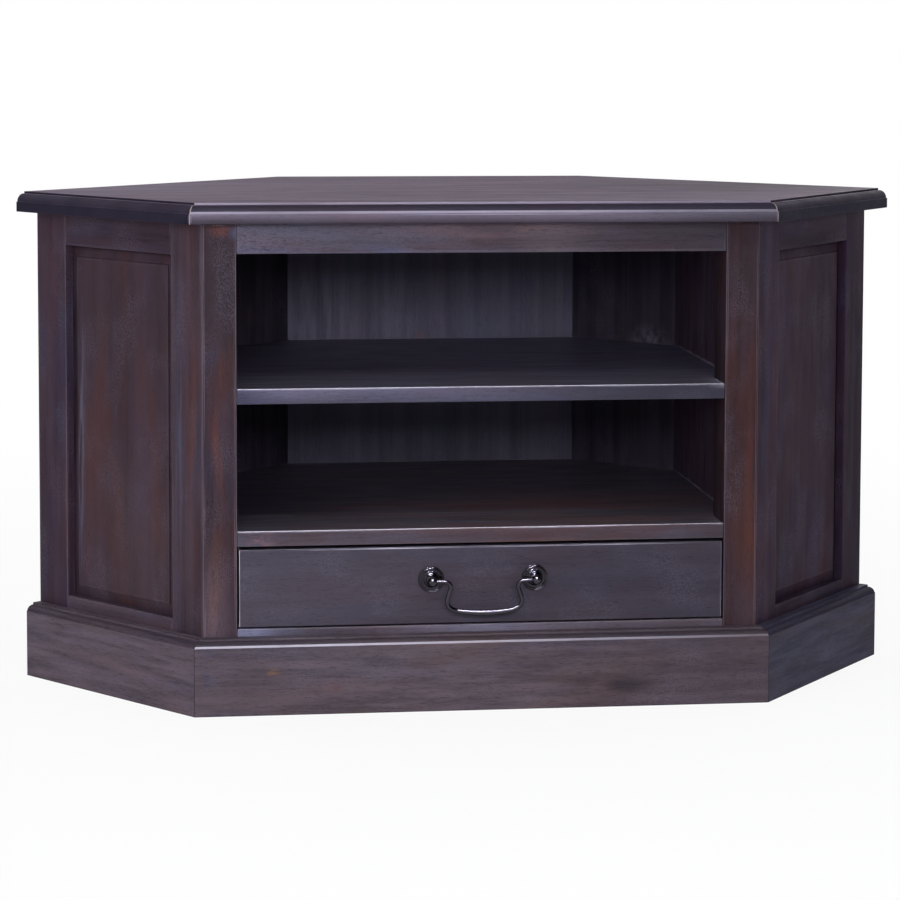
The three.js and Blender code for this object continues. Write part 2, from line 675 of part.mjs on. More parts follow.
// Drawer: front, two sides, back and a plywood bottom held in grooves
function buildDrawer(cabinet) {
  const drawer = new THREE.Group();
  drawer.position.set(0, bodyFrontY, drawerFloor);
  cabinet.add(drawer);

  const sideInner = drawerHalf - drawerSideThickness;
  const grooveSide = sideInner + drawerGrooveDepth;
  const grooveTop = drawerBottomLift + drawerBottomThickness + 2 * fit;
  const handleZ = drawerFrontHeight / 2 + handleAboveMiddle;

  const groove = block(-grooveSide, grooveSide, frameThickness - drawerGrooveDepth, frameThickness + cutOverrun,
    grooveTop - drawerBottomLift).translate(0, 0, drawerBottomLift);
  const boltHoles = bothSides.map((side) => {
    const hole = new THREE.CylinderGeometry(studShankRadius + fit, studShankRadius + fit,
      frameThickness + 2 * cutOverrun, turnedSides / 2);
    return hole.translate(side * handleSpacing / 2, frameThickness / 2, handleZ);
  });
  const front = block(-drawerHalf, drawerHalf, 0, frameThickness, drawerFrontHeight);
  place(drawer, 'drawer_front', cut(front, [groove, ...boltHoles]), finishes.drawerWood());

  const sideFrontY = frameThickness + fit;
  const sideSection = (side) => [
    [sideInner, 0], [drawerHalf, 0], [drawerHalf, drawerSideHeight], [sideInner, drawerSideHeight],
    [sideInner, grooveTop], [grooveSide, grooveTop], [grooveSide, drawerBottomLift], [sideInner, drawerBottomLift],
  ].map(([x, z]) => new THREE.Vector2(side * x, z));
  for (const side of bothSides) {
    const board = prism(sideSection(side), drawerLength - sideFrontY).rotateX(Math.PI / 2);
    place(drawer, `drawer_side_${sideName(side)}`, board, finishes.innerWood(), 0, drawerLength, 0);
  }

  const backHalf = sideInner - fit;
  const backBoard = block(-backHalf, backHalf, drawerLength - drawerSideThickness, drawerLength,
    drawerSideHeight - grooveTop);
  place(drawer, 'drawer_back', backBoard, finishes.innerWood(), 0, 0, grooveTop);

  const bottomHalf = grooveSide - fit;
  const bottomFrontY = frameThickness - drawerGrooveDepth + fit;
  const bottom = block(-bottomHalf, bottomHalf, bottomFrontY, drawerLength, drawerBottomThickness);
  place(drawer, 'drawer_bottom', bottom, finishes.plywood(), 0, 0, drawerBottomLift + fit);

  buildHandle(drawer, handleZ);
}

// Turned plate with a rim, two raised rings and a low dome round the stud's hole
function rosetteGeometry() {
  const hole = studShankRadius + fit;
  const rimShare = 0.94;
  const ringShares = [0.84, 0.62];
  const ringWidthShare = 0.055;
  const domeShare = 0.46;
  const profile = [
    new THREE.Vector2(hole, 0), new THREE.Vector2(rosetteRadius, 0),
    new THREE.Vector2(rosetteRadius, rosetteRimHeight / 2),
    new THREE.Vector2(rosetteRadius * rimShare, rosetteRimHeight),
  ];
  for (const share of ringShares) {
    const outer = rosetteRadius * (share + ringWidthShare);
    const inner = rosetteRadius * (share - ringWidthShare);
    profile.push(new THREE.Vector2(outer, rosetteRimHeight - rosetteRingHeight / 2));
    profile.push(new THREE.Vector2(rosetteRadius * share, rosetteRimHeight + rosetteRingHeight));
    profile.push(new THREE.Vector2(inner, rosetteRimHeight - rosetteRingHeight / 2));
  }
  profile.push(new THREE.Vector2(rosetteRadius * domeShare, rosetteRimHeight));
  profile.push(new THREE.Vector2(studCollarRadius, rosetteDomeHeight));
  profile.push(new THREE.Vector2(hole, rosetteDomeHeight));
  profile.push(profile[0].clone());
  return new THREE.LatheGeometry(profile, turnedSides).rotateX(Math.PI);
}

// Stud with a collar on the rosette, a ball with the bail's eye, and a shank that takes a nut inside
function studGeometry() {
  const collarBase = rosetteDomeHeight + fit;
  const shankEnd = -(frameThickness + studTail);
  const neckMeetsBall = studProjection - Math.sqrt(studBallRadius ** 2 - studNeckRadius ** 2);
  const profile = [
    new THREE.Vector2(0, shankEnd), new THREE.Vector2(studShankRadius, shankEnd),
    new THREE.Vector2(studShankRadius, collarBase), new THREE.Vector2(studCollarRadius, collarBase),
    new THREE.Vector2(studCollarRadius, (collarBase + neckMeetsBall) / 2),
    new THREE.Vector2(studNeckRadius, neckMeetsBall),
  ];
  const ballStart = Math.asin(studNeckRadius / studBallRadius);
  const ballSteps = 2 * ovoloSteps;
  for (let step = 1; step < ballSteps; step += 1) {
    const turn = Math.PI - ballStart - (Math.PI - ballStart) * (step / ballSteps);
    profile.push(new THREE.Vector2(
      studBallRadius * Math.sin(turn), studProjection + studBallRadius * Math.cos(turn),
    ));
  }
  profile.push(new THREE.Vector2(0, studProjection + studBallRadius));
  const eye = new THREE.CylinderGeometry(eyeRadius, eyeRadius, 2 * (studBallRadius + cutOverrun), turnedSides / 2);
  eye.rotateZ(Math.PI / 2).translate(0, studProjection, 0);
  return cut(new THREE.LatheGeometry(profile, turnedSides), [eye]).rotateX(Math.PI);
}

function nutGeometry() {
  const outline = [];
  const corners = 6;
  for (let corner = 0; corner < corners; corner += 1) {
    const turn = (corner / corners) * 2 * Math.PI;
    outline.push(new THREE.Vector2(nutRadius * Math.cos(turn), nutRadius * Math.sin(turn)));
  }
  const shape = new THREE.Shape(outline);
  const bore = new THREE.Path();
  bore.absarc(0, 0, studShankRadius + fit, 0, 2 * Math.PI, true);
  shape.holes.push(bore);
  const geometry = new THREE.ExtrudeGeometry(shape, {
    depth: nutThickness, bevelEnabled: false, curveSegments: turnedSides / 2,
  });
  return geometry.rotateX(-Math.PI / 2);
}

// Swan-neck bail, thin at the eyes and thick at the grip, swept along a curve in the plane x, z
function bailGeometry() {
  const halfSpacing = handleSpacing / 2;
  const neck = halfSpacing - bailArmLength;
  const right = [
    [halfSpacing + bailEndBeyond, 0],
    [halfSpacing - studBallRadius, 0],
    [neck + bailArmOut, -bailArmSag],
    [neck + bailShoulderOut, -bailShoulderDrop],
    [neck, -bailNeckDrop],
    [neck + bailWaistOut, -bailWaistDrop],
    [neck + bailHipOut, -bailHipDrop],
    [neck + bailCornerOut, -bailCornerDrop],
    [neck - bailGripEndIn, -bailGripEndDrop],
    [neck / 2, -bailDrop],
    [0, -bailGripSag - bailDrop],
  ];
  const left = right.slice(0, -1).map(([x, z]) => [-x, z]);
  const points = [...left, ...right.reverse()].map(([x, z]) => new THREE.Vector3(x, 0, z));
  const curve = new THREE.CatmullRomCurve3(points, false, 'centripetal');
  const frames = [];
  for (let step = 0; step <= bailSteps; step += 1) {
    const share = step / bailSteps;
    const centre = curve.getPointAt(share);
    const along = curve.getTangentAt(share);
    const across = new THREE.Vector3(0, 1, 0).cross(along).normalize();
    frames.push({ centre, across, radius: bailRadiusAt(centre.x, centre.z) });
  }
  const rings = frames.map(({ centre, across, radius }) => {
    const ring = [];
    for (let i = 0; i < bailSides; i += 1) {
      const turn = (i / bailSides) * 2 * Math.PI;
      const point = centre.clone().addScaledVector(across, radius * Math.cos(turn));
      point.y += radius * Math.sin(turn);
      ring.push(point);
    }
    return ring;
  });
  const capOutline = rings[0].map(({ y, z }) => new THREE.Vector2(y, z));
  return loft(rings, capOutline);
}

function bailRadiusAt(x, z) {
  const gripHalf = handleSpacing / 2 - bailArmLength;
  if (z > -bailWaistDrop) {
    return THREE.MathUtils.lerp(bailEndRadius, bailNeckRadius, THREE.MathUtils.clamp(-z / bailWaistDrop, 0, 1));
  }
  const towardsMiddle = THREE.MathUtils.clamp(1 - Math.abs(x) / gripHalf, 0, 1);
  return THREE.MathUtils.lerp(bailNeckRadius, bailGripRadius, Math.sin((towardsMiddle * Math.PI) / 2));
}

function buildHandle(drawer, handleZ) {
  const handle = new THREE.Group();
  handle.position.set(0, -fit, handleZ);
  drawer.add(handle);
  for (const side of bothSides) {
    const x = side * handleSpacing / 2;
    const name = sideName(side);
    place(handle, `handle_rosette_${name}`, rosetteGeometry(), finishes.handleMetal(), x);
    place(handle, `handle_post_${name}`, studGeometry(), finishes.handleMetal(), x);
    place(handle, `handle_nut_${name}`, nutGeometry(), finishes.screwSteel(), x, frameThickness + 2 * fit);
  }
  place(handle, 'handle_bail', bailGeometry(), finishes.handleMetal(), 0, -studProjection, 0);
}

const cabinet = new THREE.Group();
cabinet.name = 'corner_tv_cabinet';
buildTop(cabinet);
buildFrontFrame(cabinet);
bothSides.forEach((side) => buildWing(cabinet, side));
buildFrontPlinth(cabinet);
buildInside(cabinet);
buildRunners(cabinet);
buildBack(cabinet);
buildTopFixing(cabinet);
buildDrawer(cabinet);

export default cabinet;
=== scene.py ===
# Corner television cabinet in dark stained hardwood.
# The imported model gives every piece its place. Here the boards get eased edges, grain and lacquer, and the
# handle, nuts and screws are made again in finer detail.

import json
import math

import bmesh
import bpy
from mathutils import Matrix, Vector

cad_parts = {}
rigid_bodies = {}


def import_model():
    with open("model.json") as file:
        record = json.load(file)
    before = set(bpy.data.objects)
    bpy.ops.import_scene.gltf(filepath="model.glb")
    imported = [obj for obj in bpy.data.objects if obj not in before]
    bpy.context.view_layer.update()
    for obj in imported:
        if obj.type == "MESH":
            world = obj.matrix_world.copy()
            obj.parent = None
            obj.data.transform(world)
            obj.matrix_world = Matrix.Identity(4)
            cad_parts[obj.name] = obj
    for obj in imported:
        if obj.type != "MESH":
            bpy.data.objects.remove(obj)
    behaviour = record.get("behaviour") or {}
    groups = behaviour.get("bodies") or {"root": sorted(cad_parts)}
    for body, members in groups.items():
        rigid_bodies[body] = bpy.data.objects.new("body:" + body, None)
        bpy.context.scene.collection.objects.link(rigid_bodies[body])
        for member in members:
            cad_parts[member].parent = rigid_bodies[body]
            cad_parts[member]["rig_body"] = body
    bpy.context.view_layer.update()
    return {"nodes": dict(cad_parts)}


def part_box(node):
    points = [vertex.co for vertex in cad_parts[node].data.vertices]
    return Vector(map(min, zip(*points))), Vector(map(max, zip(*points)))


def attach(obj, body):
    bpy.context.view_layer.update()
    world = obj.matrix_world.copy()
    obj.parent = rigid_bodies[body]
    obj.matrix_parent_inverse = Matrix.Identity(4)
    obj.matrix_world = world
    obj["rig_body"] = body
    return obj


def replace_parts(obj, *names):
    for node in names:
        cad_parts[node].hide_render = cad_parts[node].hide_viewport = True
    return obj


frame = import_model()
scene = bpy.context.scene
print("frame loaded:", len(frame["nodes"]), "pieces")

mm = 0.001
upright = Vector((0, 0, 1))
sideways = Vector((1, 0, 0))
inwards = Vector((0, 1, 0))


# Small tools

def linearColour(hexCode, stainAndLightTint=(1, 1, 1)):
    # sRGB hex to the linear colour a socket takes
    channels = [int(hexCode[i:i + 2], 16) / 255 for i in (1, 3, 5)]
    linear = [c / 12.92 if c <= 0.04045 else ((c + 0.055) / 1.055) ** 2.4 for c in channels]
    return tuple(c * t for c, t in zip(linear, stainAndLightTint)) + (1.0,)


def addNode(tree, kind, settings=None):
    # a setting is a property, the value of an input, or another node's output to link to that input
    node = tree.nodes.new("ShaderNode" + kind)
    for key, value in (settings or {}).items():
        if isinstance(value, bpy.types.NodeSocket):
            tree.links.new(value, node.inputs[key])
        elif isinstance(key, str) and hasattr(node, key):
            setattr(node, key, value)
        else:
            node.inputs[key].default_value = value
    return node


smoothly = {"interpolation_type": "SMOOTHSTEP"}  # for a map range that eases in and out


def addObject(name, data):
    made = bpy.data.objects.new(name, data)
    scene.collection.objects.link(made)
    return made


def newMaterial(name, surface):
    # a material with one Principled shader, and its settings
    material = bpy.data.materials.new(name)
    material.use_nodes = True
    tree = material.node_tree
    tree.nodes.clear()
    shader = addNode(tree, "BsdfPrincipled", surface)
    addNode(tree, "OutputMaterial", {"Surface": shader.outputs[0]})
    return material, tree, shader


# Wood

# Looks share this stain, and each board changes what differs
deepStain = {
    # tones
    "dark": "#2d222a", "light": "#463640", "warm": "#48292a", "cool": "#33344a", "pore": "#141014",
    "worn": "#8d7f8c", "bloom": "#77758c", "pool": "#14121a",
    # how much of each shows
    "warmShare": 0.45, "coolShare": 0.45, "fineShare": 0.3, "poreShare": 0.45, "bloomShare": 0.12,
    "frontDust": 0, "pooled": 0, "poolGloss": 0.2,
    # sizes of the patterns, mm along and across the grain
    "broad": (300, 15), "fine": (60, 2.2), "warmPatch": (150, 26), "coolPatch": (120, 34), "bend": (240, 60),
    "dustStreak": (240, 6), "bloomPatch": (60, 40), "rubPatch": (90, 14), "sheen": (70, 9),
    "openPore": (9, 0.6),  # about twice the real width, so that it shows
    "speck": (1.8, 1.2),  # coarser than the real dust, so that it shows
    # rubbed arrises, which also stand for a painted highlight: how far the noise spreads and breaks the rub, its
    # soft edge, its strength, and where it fades along the board as painted light falloff
    "rub": 0.8, "rubLoss": 0.8, "rubSoftness": 0.5, "rubStrength": 0.3, "rubFade": None,
    # lacquer, and relief: streaks and wander in mm, pores as a multiple of the streaks
    "roughness": 0.45, "glossRange": (-0.07, 0.09), "specular": 0.15,
    "relief": 0.35, "streakHeight": 0.06, "poreDepth": 2.2, "wander": 9,
    "seed": 1, "spots": (), "seams": (),
    "marksInside": False,  # spots show on the faces that look to the front alone
}

# How each pattern's noise is cut to a share (low, high), the offset that sets it apart, its detail and roughness
patterns = {
    "broad": (0.3, 0.7, 1, 3, 0.55), "fine": (0.3, 0.7, 2, 4, 0.65), "warmPatch": (0.45, 0.7, 3, 3, 0.55),
    "coolPatch": (0.46, 0.7, 4, 3, 0.55), "openPore": (0.58, 0.72, 5, 1, 0.55), "rubPatch": (0.2, 0.8, 6, 3, 0.55),
    "sheen": (0.2, 0.8, 7, 4, 0.55), "broken": (0.35, 0.65, 8, 3, 0.55), "speck": (0.4, 0.62, 9, 2, 0.55),
    "bloomPatch": (0.42, 0.7, 10, 2, 0.55), "dustStreak": (0.1, 0.6, 11, 3, 0.55),
}


def marks(depth, through, *rows):
    # knots, rubs and bloom, and patches of painted light, shade and sheen, in mm from the board's middle; depth is
    # counted through the board, and through says how far in they reach. Each row has the place along and across
    # the grain, the reach along and across, the colour, the strength, and for a broken mark the size of the
    # pattern that cuts it up.
    return [{"at": (along, across, depth), "size": (length, width, through), "colour": colour,
             "strength": strength, "broken": broken}
            for along, across, length, width, colour, strength, *broken in rows]


def stainedWood(name, look, stainAndLightTint):
    # Mahogany, planed, stained dark and sprayed with satin lacquer: streaks along the grain, short open
    # pores, brown and slate patches where the stain took unevenly, a dry bluish bloom of overspray, and
    # paler wood rubbed through at the arrises, which also stands for a painted highlight along them. The tint is
    # how strongly this board took the stain, and also painted light and shade: it darkens or lightens a board
    # for how much light falls on it.
    material, tree, shader = newMaterial(name, {
        "IOR": 1.5, "Roughness": look["roughness"], "Specular IOR Level": look["specular"]})
    place = addNode(tree, "Attribute", {"attribute_name": "grain"}).outputs["Vector"]
    shift = look["seed"] * 0.37  # sets this board's noise apart from the others
    away = (shift, shift * 1.7, shift * 0.6)

    def noise(size, source, offset, detail, roughness=0.5):
        # noise with cells of this size in mm along and across the grain
        lengthMm, widthMm = size
        cell = addNode(tree, "Mapping", {
            "Vector": source, "Scale": (1000 / lengthMm, 1000 / widthMm, 1000 / widthMm), "Location": offset})
        return addNode(tree, "TexNoise", {
            "Vector": cell.outputs[0], "Scale": 1.0, "Detail": detail, "Roughness": roughness})

    # grain lines wander a little
    bend = noise(look["bend"], place, away, 1)
    middled = addNode(tree, "VectorMath", {
        "operation": "SUBTRACT", 0: bend.outputs["Color"], 1: (0.5, 0.5, 0.5)})
    wander = addNode(tree, "VectorMath", {
        "operation": "SCALE", 0: middled.outputs[0], "Scale": look["wander"] * mm})
    grain = addNode(tree, "VectorMath", {"operation": "ADD", 0: place, 1: wander.outputs[0]}).outputs[0]

    def patches(pattern, size=None, source=grain):
        # share of the board that one pattern covers
        low, high, offset, detail, roughness = patterns[pattern]
        cells = noise(size or look[pattern], source, tuple(offset * v + offset for v in away), detail, roughness)
        return addNode(tree, "MapRange", {
            **smoothly, "Value": cells.outputs["Fac"], "From Min": low, "From Max": high}).outputs[0]

    def near(spot):
        # share that is full at the spot's place and fades out over its size
        offset = addNode(tree, "VectorMath", {
            "operation": "SUBTRACT", 0: grain, 1: [v * mm for v in spot["at"]]})
        scaled = addNode(tree, "VectorMath", {
            "operation": "DIVIDE", 0: offset.outputs[0], 1: [v * mm for v in spot["size"]]})
        reach = addNode(tree, "VectorMath", {"operation": "LENGTH", 0: scaled.outputs[0]})
        return addNode(tree, "MapRange", {
            **smoothly, "Value": reach.outputs["Value"], "From Min": 1.0, "From Max": 0.0,
            "To Max": spot["strength"]}).outputs[0]

    def lay(colour, under, *shares):
        # lays a colour over what is under it, as far as all the shares let it show
        share = shares[0]
        for factor in shares[1:]:
            share = addNode(tree, "Math", {
                "operation": "MULTIPLY", "use_clamp": True, 0: share, 1: factor}).outputs[0]
        return addNode(tree, "Mix", {"data_type": "RGBA", 0: share, 6: under, 7: colour}).outputs[2]

    tone = {part: linearColour(look[part], stainAndLightTint) for part in ("dark", "light", "warm", "cool", "pore")}
    bloom = linearColour(look["bloom"])
    colour = lay(tone["light"], tone["dark"], patches("broad"))
    colour = lay(tone["warm"], colour, patches("warmPatch"), look["warmShare"])
    colour = lay(tone["cool"], colour, patches("coolPatch"), look["coolShare"])
    fine = patches("fine")
    colour = lay(tone["light"], colour, fine, look["fineShare"])

    # dust on the faces that look to the front, which also paints a sheen on them
    if look["frontDust"]:
        front = addNode(tree, "Attribute", {"attribute_name": "front"}).outputs["Fac"]
        colour = lay(bloom, colour, front, patches("dustStreak"), look["frontDust"])

    # knots, amber rubs, bluish bloom, and patches of painted light, shade and sheen, each at its place on the board
    for spot in look["spots"]:
        shares = [near(spot)]
        if look["marksInside"]:
            shares.append(addNode(tree, "Attribute", {"attribute_name": "front"}).outputs["Fac"])
        if spot["broken"]:
            shares.append(patches("broken", *spot["broken"]))
        colour = lay(linearColour(spot["colour"]), colour, *shares)

    # open pores, and pale specks of dry overspray inside loose patches
    pores = patches("openPore")
    colour = lay(tone["pore"], colour, pores, look["poreShare"])
    colour = lay(bloom, colour, patches("speck"), patches("bloomPatch"), look["bloomShare"])

    # darker stain, with duller lacquer, on the facets a board chooses: stain pooled in a moulding, and painted
    # shade on the convex mouldings and the top's wing edges
    if look["pooled"]:
        deep = addNode(tree, "Attribute", {"attribute_name": "deep"}).outputs["Fac"]
        colour = lay(linearColour(look["pool"]), colour, deep, look["pooled"])
        dull = addNode(tree, "MapRange", {
            "Value": deep, "To Min": look["specular"], "To Max": look["specular"] * look["poolGloss"]})
        tree.links.new(dull.outputs[0], shader.inputs["Specular IOR Level"])

    # rubbed arrises, which also stand for a painted highlight along them: the mask is 1 on the rounded edge and
    # falls to 0 a little inside the face; where the noise is low, the rub's loss is taken off it. Its fade along
    # the board is painted light falloff
    wear = addNode(tree, "Attribute", {"attribute_name": "wear"}).outputs["Fac"]
    loss = addNode(tree, "Math", {
        "operation": "MULTIPLY_ADD", 0: patches("rubPatch", source=place), 1: look["rub"], 2: -look["rubLoss"]})
    rubbed = addNode(tree, "Math", {"operation": "ADD", 0: wear, 1: loss.outputs[0]})
    shares = [addNode(tree, "MapRange", {
        **smoothly, "Value": rubbed.outputs[0], "From Max": look["rubSoftness"],
        "To Max": look["rubStrength"]}).outputs[0]]
    if look["rubFade"]:
        start, end, least = look["rubFade"]
        along = addNode(tree, "SeparateXYZ", {0: place}).outputs[0]
        shares.append(addNode(tree, "MapRange", {
            "Value": along, "From Min": start * mm, "From Max": end * mm, "To Min": 1.0, "To Max": least}).outputs[0])
    colour = lay(linearColour(look["worn"]), colour, *shares)

    # pale glue line where two mouldings meet, on a plane through one point of the board
    for seam in look["seams"]:
        offset = addNode(tree, "VectorMath", {
            "operation": "SUBTRACT", 0: place, 1: [v * mm for v in seam["at"]]})
        ahead = addNode(tree, "VectorMath", {
            "operation": "DOT_PRODUCT", 0: offset.outputs[0], 1: seam["facing"]})
        distance = addNode(tree, "Math", {"operation": "ABSOLUTE", 0: ahead.outputs["Value"]})
        line = addNode(tree, "MapRange", {
            **smoothly, "Value": distance.outputs[0], "From Min": seam["width"] * mm, "From Max": seam["core"] * mm})
        colour = lay(linearColour(seam["colour"]), colour, line.outputs[0], near(seam))
    tree.links.new(colour, shader.inputs["Base Color"])

    # the lacquer's gloss varies in streaks
    smoother, rougher = look["glossRange"]
    gloss = addNode(tree, "MapRange", {
        "Value": patches("sheen"), "To Min": look["roughness"] + smoother, "To Max": look["roughness"] + rougher})
    tree.links.new(gloss.outputs[0], shader.inputs["Roughness"])

    # relief: streaks stand a few hundredths of a millimetre, pores are about a tenth deep
    height = addNode(tree, "Math", {"operation": "MULTIPLY_ADD", 0: pores, 1: -look["poreDepth"], 2: fine})
    bump = addNode(tree, "Bump", {
        "Height": height.outputs[0], "Strength": look["relief"], "Distance": look["streakHeight"] * mm})
    tree.links.new(bump.outputs[0], shader.inputs["Normal"])
    return material


# How a board is eased: lengths in mm, angles in degrees
easing = {
    "weld": 0.002, "flatAngle": 0.5, "planeAngle": 0.6, "arrisAngle": 24, "rubReach": 1.5, "marginWear": 0.8,
    "thinnest": 1.2,  # a face with less area than this for its rim gets no rub margin
    "narrow": 1.6,  # the same for the facets of a moulding that are shaded smooth
    "smoothAngle": 50, "levelAngle": 1,
    "frontTurn": -0.65, "frontTilt": 0.25,  # the normal's limits for a face that looks to the front
}


def easedBoard(node, along, ease, across=None, rubReach=easing["rubReach"], keep=None, rubbed=None, stained=None,
               brushed=None):
    # a copy of the board with its arrises rounded over, a rub margin inside its flat faces, and its own grain
    # coordinates in metres. keep chooses the edges that are eased. The other options choose the places whose
    # arrises take the pale rubbed colour, which is wear and also a painted highlight; the facets that take it all
    # over, as a painted highlight line; and each facet's share of darker stain, which is pooled stain and mostly
    # painted shade.
    source = frame["nodes"][node]
    across = across or (sideways if along == upright else upright)
    low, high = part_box(node)
    centre = (low + high) / 2
    bm = bmesh.new()
    bm.from_mesh(source.data)
    bmesh.ops.remove_doubles(bm, verts=bm.verts, dist=easing["weld"] * mm)
    bmesh.ops.dissolve_limit(bm, angle_limit=math.radians(easing["flatAngle"]), verts=bm.verts, edges=bm.edges)

    sharp = math.radians(easing["arrisAngle"])
    arrises = [e for e in bm.edges if e.is_manifold and e.calc_face_angle_signed(0) > sharp
               and (keep is None or keep(e))]
    made = bmesh.ops.bevel(bm, geom=arrises, offset=ease * mm, offset_type="OFFSET", segments=2, profile=0.5,
                           affect="EDGES", clamp_overlap=True, loop_slide=True)
    rounded = {f for f in made["faces"] if f.is_valid}
    onArris = {v for f in rounded for v in f.verts}

    # rub margins, where the pale rub and its painted highlight reach into the face; the mask belongs to face
    # corners, so that it can't smear along a long face
    margins = set()
    for region in flatRegions(bm, rounded):
        inside = set(region)
        area = sum(f.calc_area() for f in region)
        rim = [e for f in region for e in f.edges if sum(g in inside for g in e.link_faces) == 1]
        perimeter = sum(e.calc_length() for e in rim)
        if (perimeter == 0 or area / perimeter < easing["thinnest"] * mm
                or not any(f in rounded for e in rim for f in e.link_faces)):
            continue
        reach = min(rubReach * mm, 0.5 * area / perimeter)
        margins.update(bmesh.ops.inset_region(bm, faces=region, thickness=reach, use_even_offset=True,
                                              use_boundary=True)["faces"])
    wear, deep, front = (bm.loops.layers.float.new(name) for name in ("wear", "deep", "front"))
    bm.normal_update()
    for face in bm.faces:
        middle, normal = face.calc_center_median(), face.normal
        worn = rubbed is None or rubbed(middle)
        # a chosen facet takes the pale rubbed colour all over, as a painted highlight line
        glintFacet = worn and brushed is not None and brushed(middle, normal)
        bare = glintFacet or (worn and face in rounded)  # no stain pools where the wood is rubbed through
        for loop in face.loops:
            if bare:
                loop[wear] = 1.0
            elif worn and face in margins and loop.vert in onArris:
                loop[wear] = easing["marginWear"]
            loop[deep] = stained(normal) if stained and not bare else 0.0
            loop[front] = float(normal.y < easing["frontTurn"] and abs(normal.z) < easing["frontTilt"])

    shadeBoard(bm, rounded)
    mesh = bpy.data.meshes.new(node + "_dressed")
    bm.to_mesh(mesh)
    bm.free()
    away = along.cross(across).normalized()
    grain = mesh.attributes.new("grain", "FLOAT_VECTOR", "POINT")
    for vertex, value in zip(mesh.vertices, grain.data):
        offset = vertex.co - centre
        value.vector = (offset.dot(along), offset.dot(across), offset.dot(away))
    board = addObject(node + "_dressed", mesh)
    weighted = board.modifiers.new("flat faces stay flat", "WEIGHTED_NORMAL")
    weighted.weight = 100
    weighted.keep_sharp = True
    return board


def flatRegions(bm, rounded):
    # groups of neighbouring faces that lie in one plane, and are not part of a rounded arris; lists keep the
    # order, so that every run gives the same mesh. A face without area counts as 9 radians off.
    seen = set(rounded)
    regions = []
    for start in bm.faces:
        if start in seen:
            continue
        seen.add(start)
        region = [start]
        for face in region:  # grows while it is walked
            for edge in face.edges:
                for other in edge.link_faces:
                    if other not in seen and other.normal.angle(start.normal, 9) < math.radians(easing["planeAngle"]):
                        seen.add(other)
                        region.append(other)
        regions.append(region)
    return regions


def shadeBoard(bm, rounded):
    # smooth over the rounded arrises and the narrow facets of a moulding, crisp elsewhere
    narrow = {f for f in bm.faces
              if f.is_valid and f.calc_area() / max(f.calc_perimeter(), 1e-9) < easing["narrow"] * mm}
    for face in bm.faces:
        face.smooth = True
    for edge in bm.edges:
        if len(edge.link_faces) != 2:
            edge.smooth = False
            continue
        first, second = edge.link_faces
        soft = first in rounded or second in rounded or (first in narrow and second in narrow)
        angle = edge.calc_face_angle(0)
        edge.smooth = angle < math.radians(easing["smoothAngle"] if soft else easing["levelAngle"])


def dress(family, node, along, slot, changes=None, **options):
    # eased board with its own stain, in place of the plain one
    look = dict(family["look"], **(changes or {}), **family.get("marks", {}).get(node, {}))
    board = easedBoard(node, along, family["ease"], **options)
    # the tint is the board's take of the stain, and also painted light and shade
    stainAndLightTint = family.get("tints", {}).get(node, (1, 1, 1))
    board.data.materials.append(stainedWood(node.replace("_", " ") + ", stained mahogany", look, stainAndLightTint))
    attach(board, frame["nodes"][node]["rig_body"])
    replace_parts(board, node)


def onBothSides(family, node, along, slot, changes=None, **options):
    # the left and the right board, each with its own seed
    changes = changes or {}
    for turn, side in enumerate(("left", "right")):
        direction = Vector((-along.x if side == "left" else along.x, along.y, along.z))
        seed = changes.get("seed", family["look"]["seed"]) + 0.5 * turn
        dress(family, f"{node}_{side}", direction, slot, dict(changes, seed=seed), **options)


# A moulding's facets, by the share of their normal that points up or down: less than this is upright, steep or
# sloping
slopes = {"upright": 0.12, "steep": 0.3, "sloping": 0.97}


def stands(n, kind):
    return slopes["upright"] < abs(n.z) < slopes[kind]


# Direction of the right wing in plan: from the front edge's end to the widest corner
frontHalf, fullHalf, wingSetback = 284, 450, 214
wingAngle = math.atan2(wingSetback, fullHalf - frontHalf)
wingWards = Vector((math.cos(wingAngle), math.sin(wingAngle), 0))

# Top board: grain runs side to side, moulded front and wing edges
topBoard = {
    "ease": 0.5, "shortEdge": 4, "edgesFrom": 475,  # edges that are short and below this height stay sharp
    # the front moulding takes the pale rub, wear and a painted highlight, in front of this y and above this
    # height; its steep facets below the third value and the upright ones above the fourth take it all over, as
    # painted highlight lines, and it fades to the right as painted light falloff
    "wornBefore": -235.9, "wornFrom": 477, "lowerCurveTo": 486.6, "topFilletFrom": 492.2,
    # the front faces carry dust that also paints a sheen on them
    "look": dict(deepStain, dark="#594b5d", light="#756678", warm="#725058", cool="#56556d", seed=3, worn="#aba6ba",
                 broad=(520, 17), fine=(120, 2.0), specular=0.08, rubStrength=0.55, poreShare=0.35, warmShare=0.35,
                 coolShare=0.3, rubPatch=(160, 160), rubFade=(40, 280, 0.4), pooled=0.85, pool="#1b1a27",
                 frontDust=0.6, bloom="#5c5a68"),
    # painted light and shade: top paler at the left end, darker at the right; front edge darker to the right
    "marks": {"top_board": {"spots": marks(
        8, 6, (430, 60, 480, 320, "#463c48", 0.9), (-430, 60, 420, 300, "#8a8094", 0.45)) + marks(
        -4, 16, (310, -250, 300, 30, "#3c3843", 0.75)) + marks(
        # painted shade: the right wing's edge dark, and the front edge darker along its lower side
        -4, 14, (370, -140, 130, 130, "#17151f", 0.7)) + marks(
        -11, 10, (0, -250, 1200, 24, "#221d26", 0.95)), "seams": [
        {"at": (sign * frontHalf, -247.5, 4), "facing": (0.9, sign * 0.44, 0), "width": 0.8, "core": 0.2,
         "size": (14, 14, 30), "strength": 0.75, "colour": "#a89a96"} for sign in (-1, 1)]}},
}
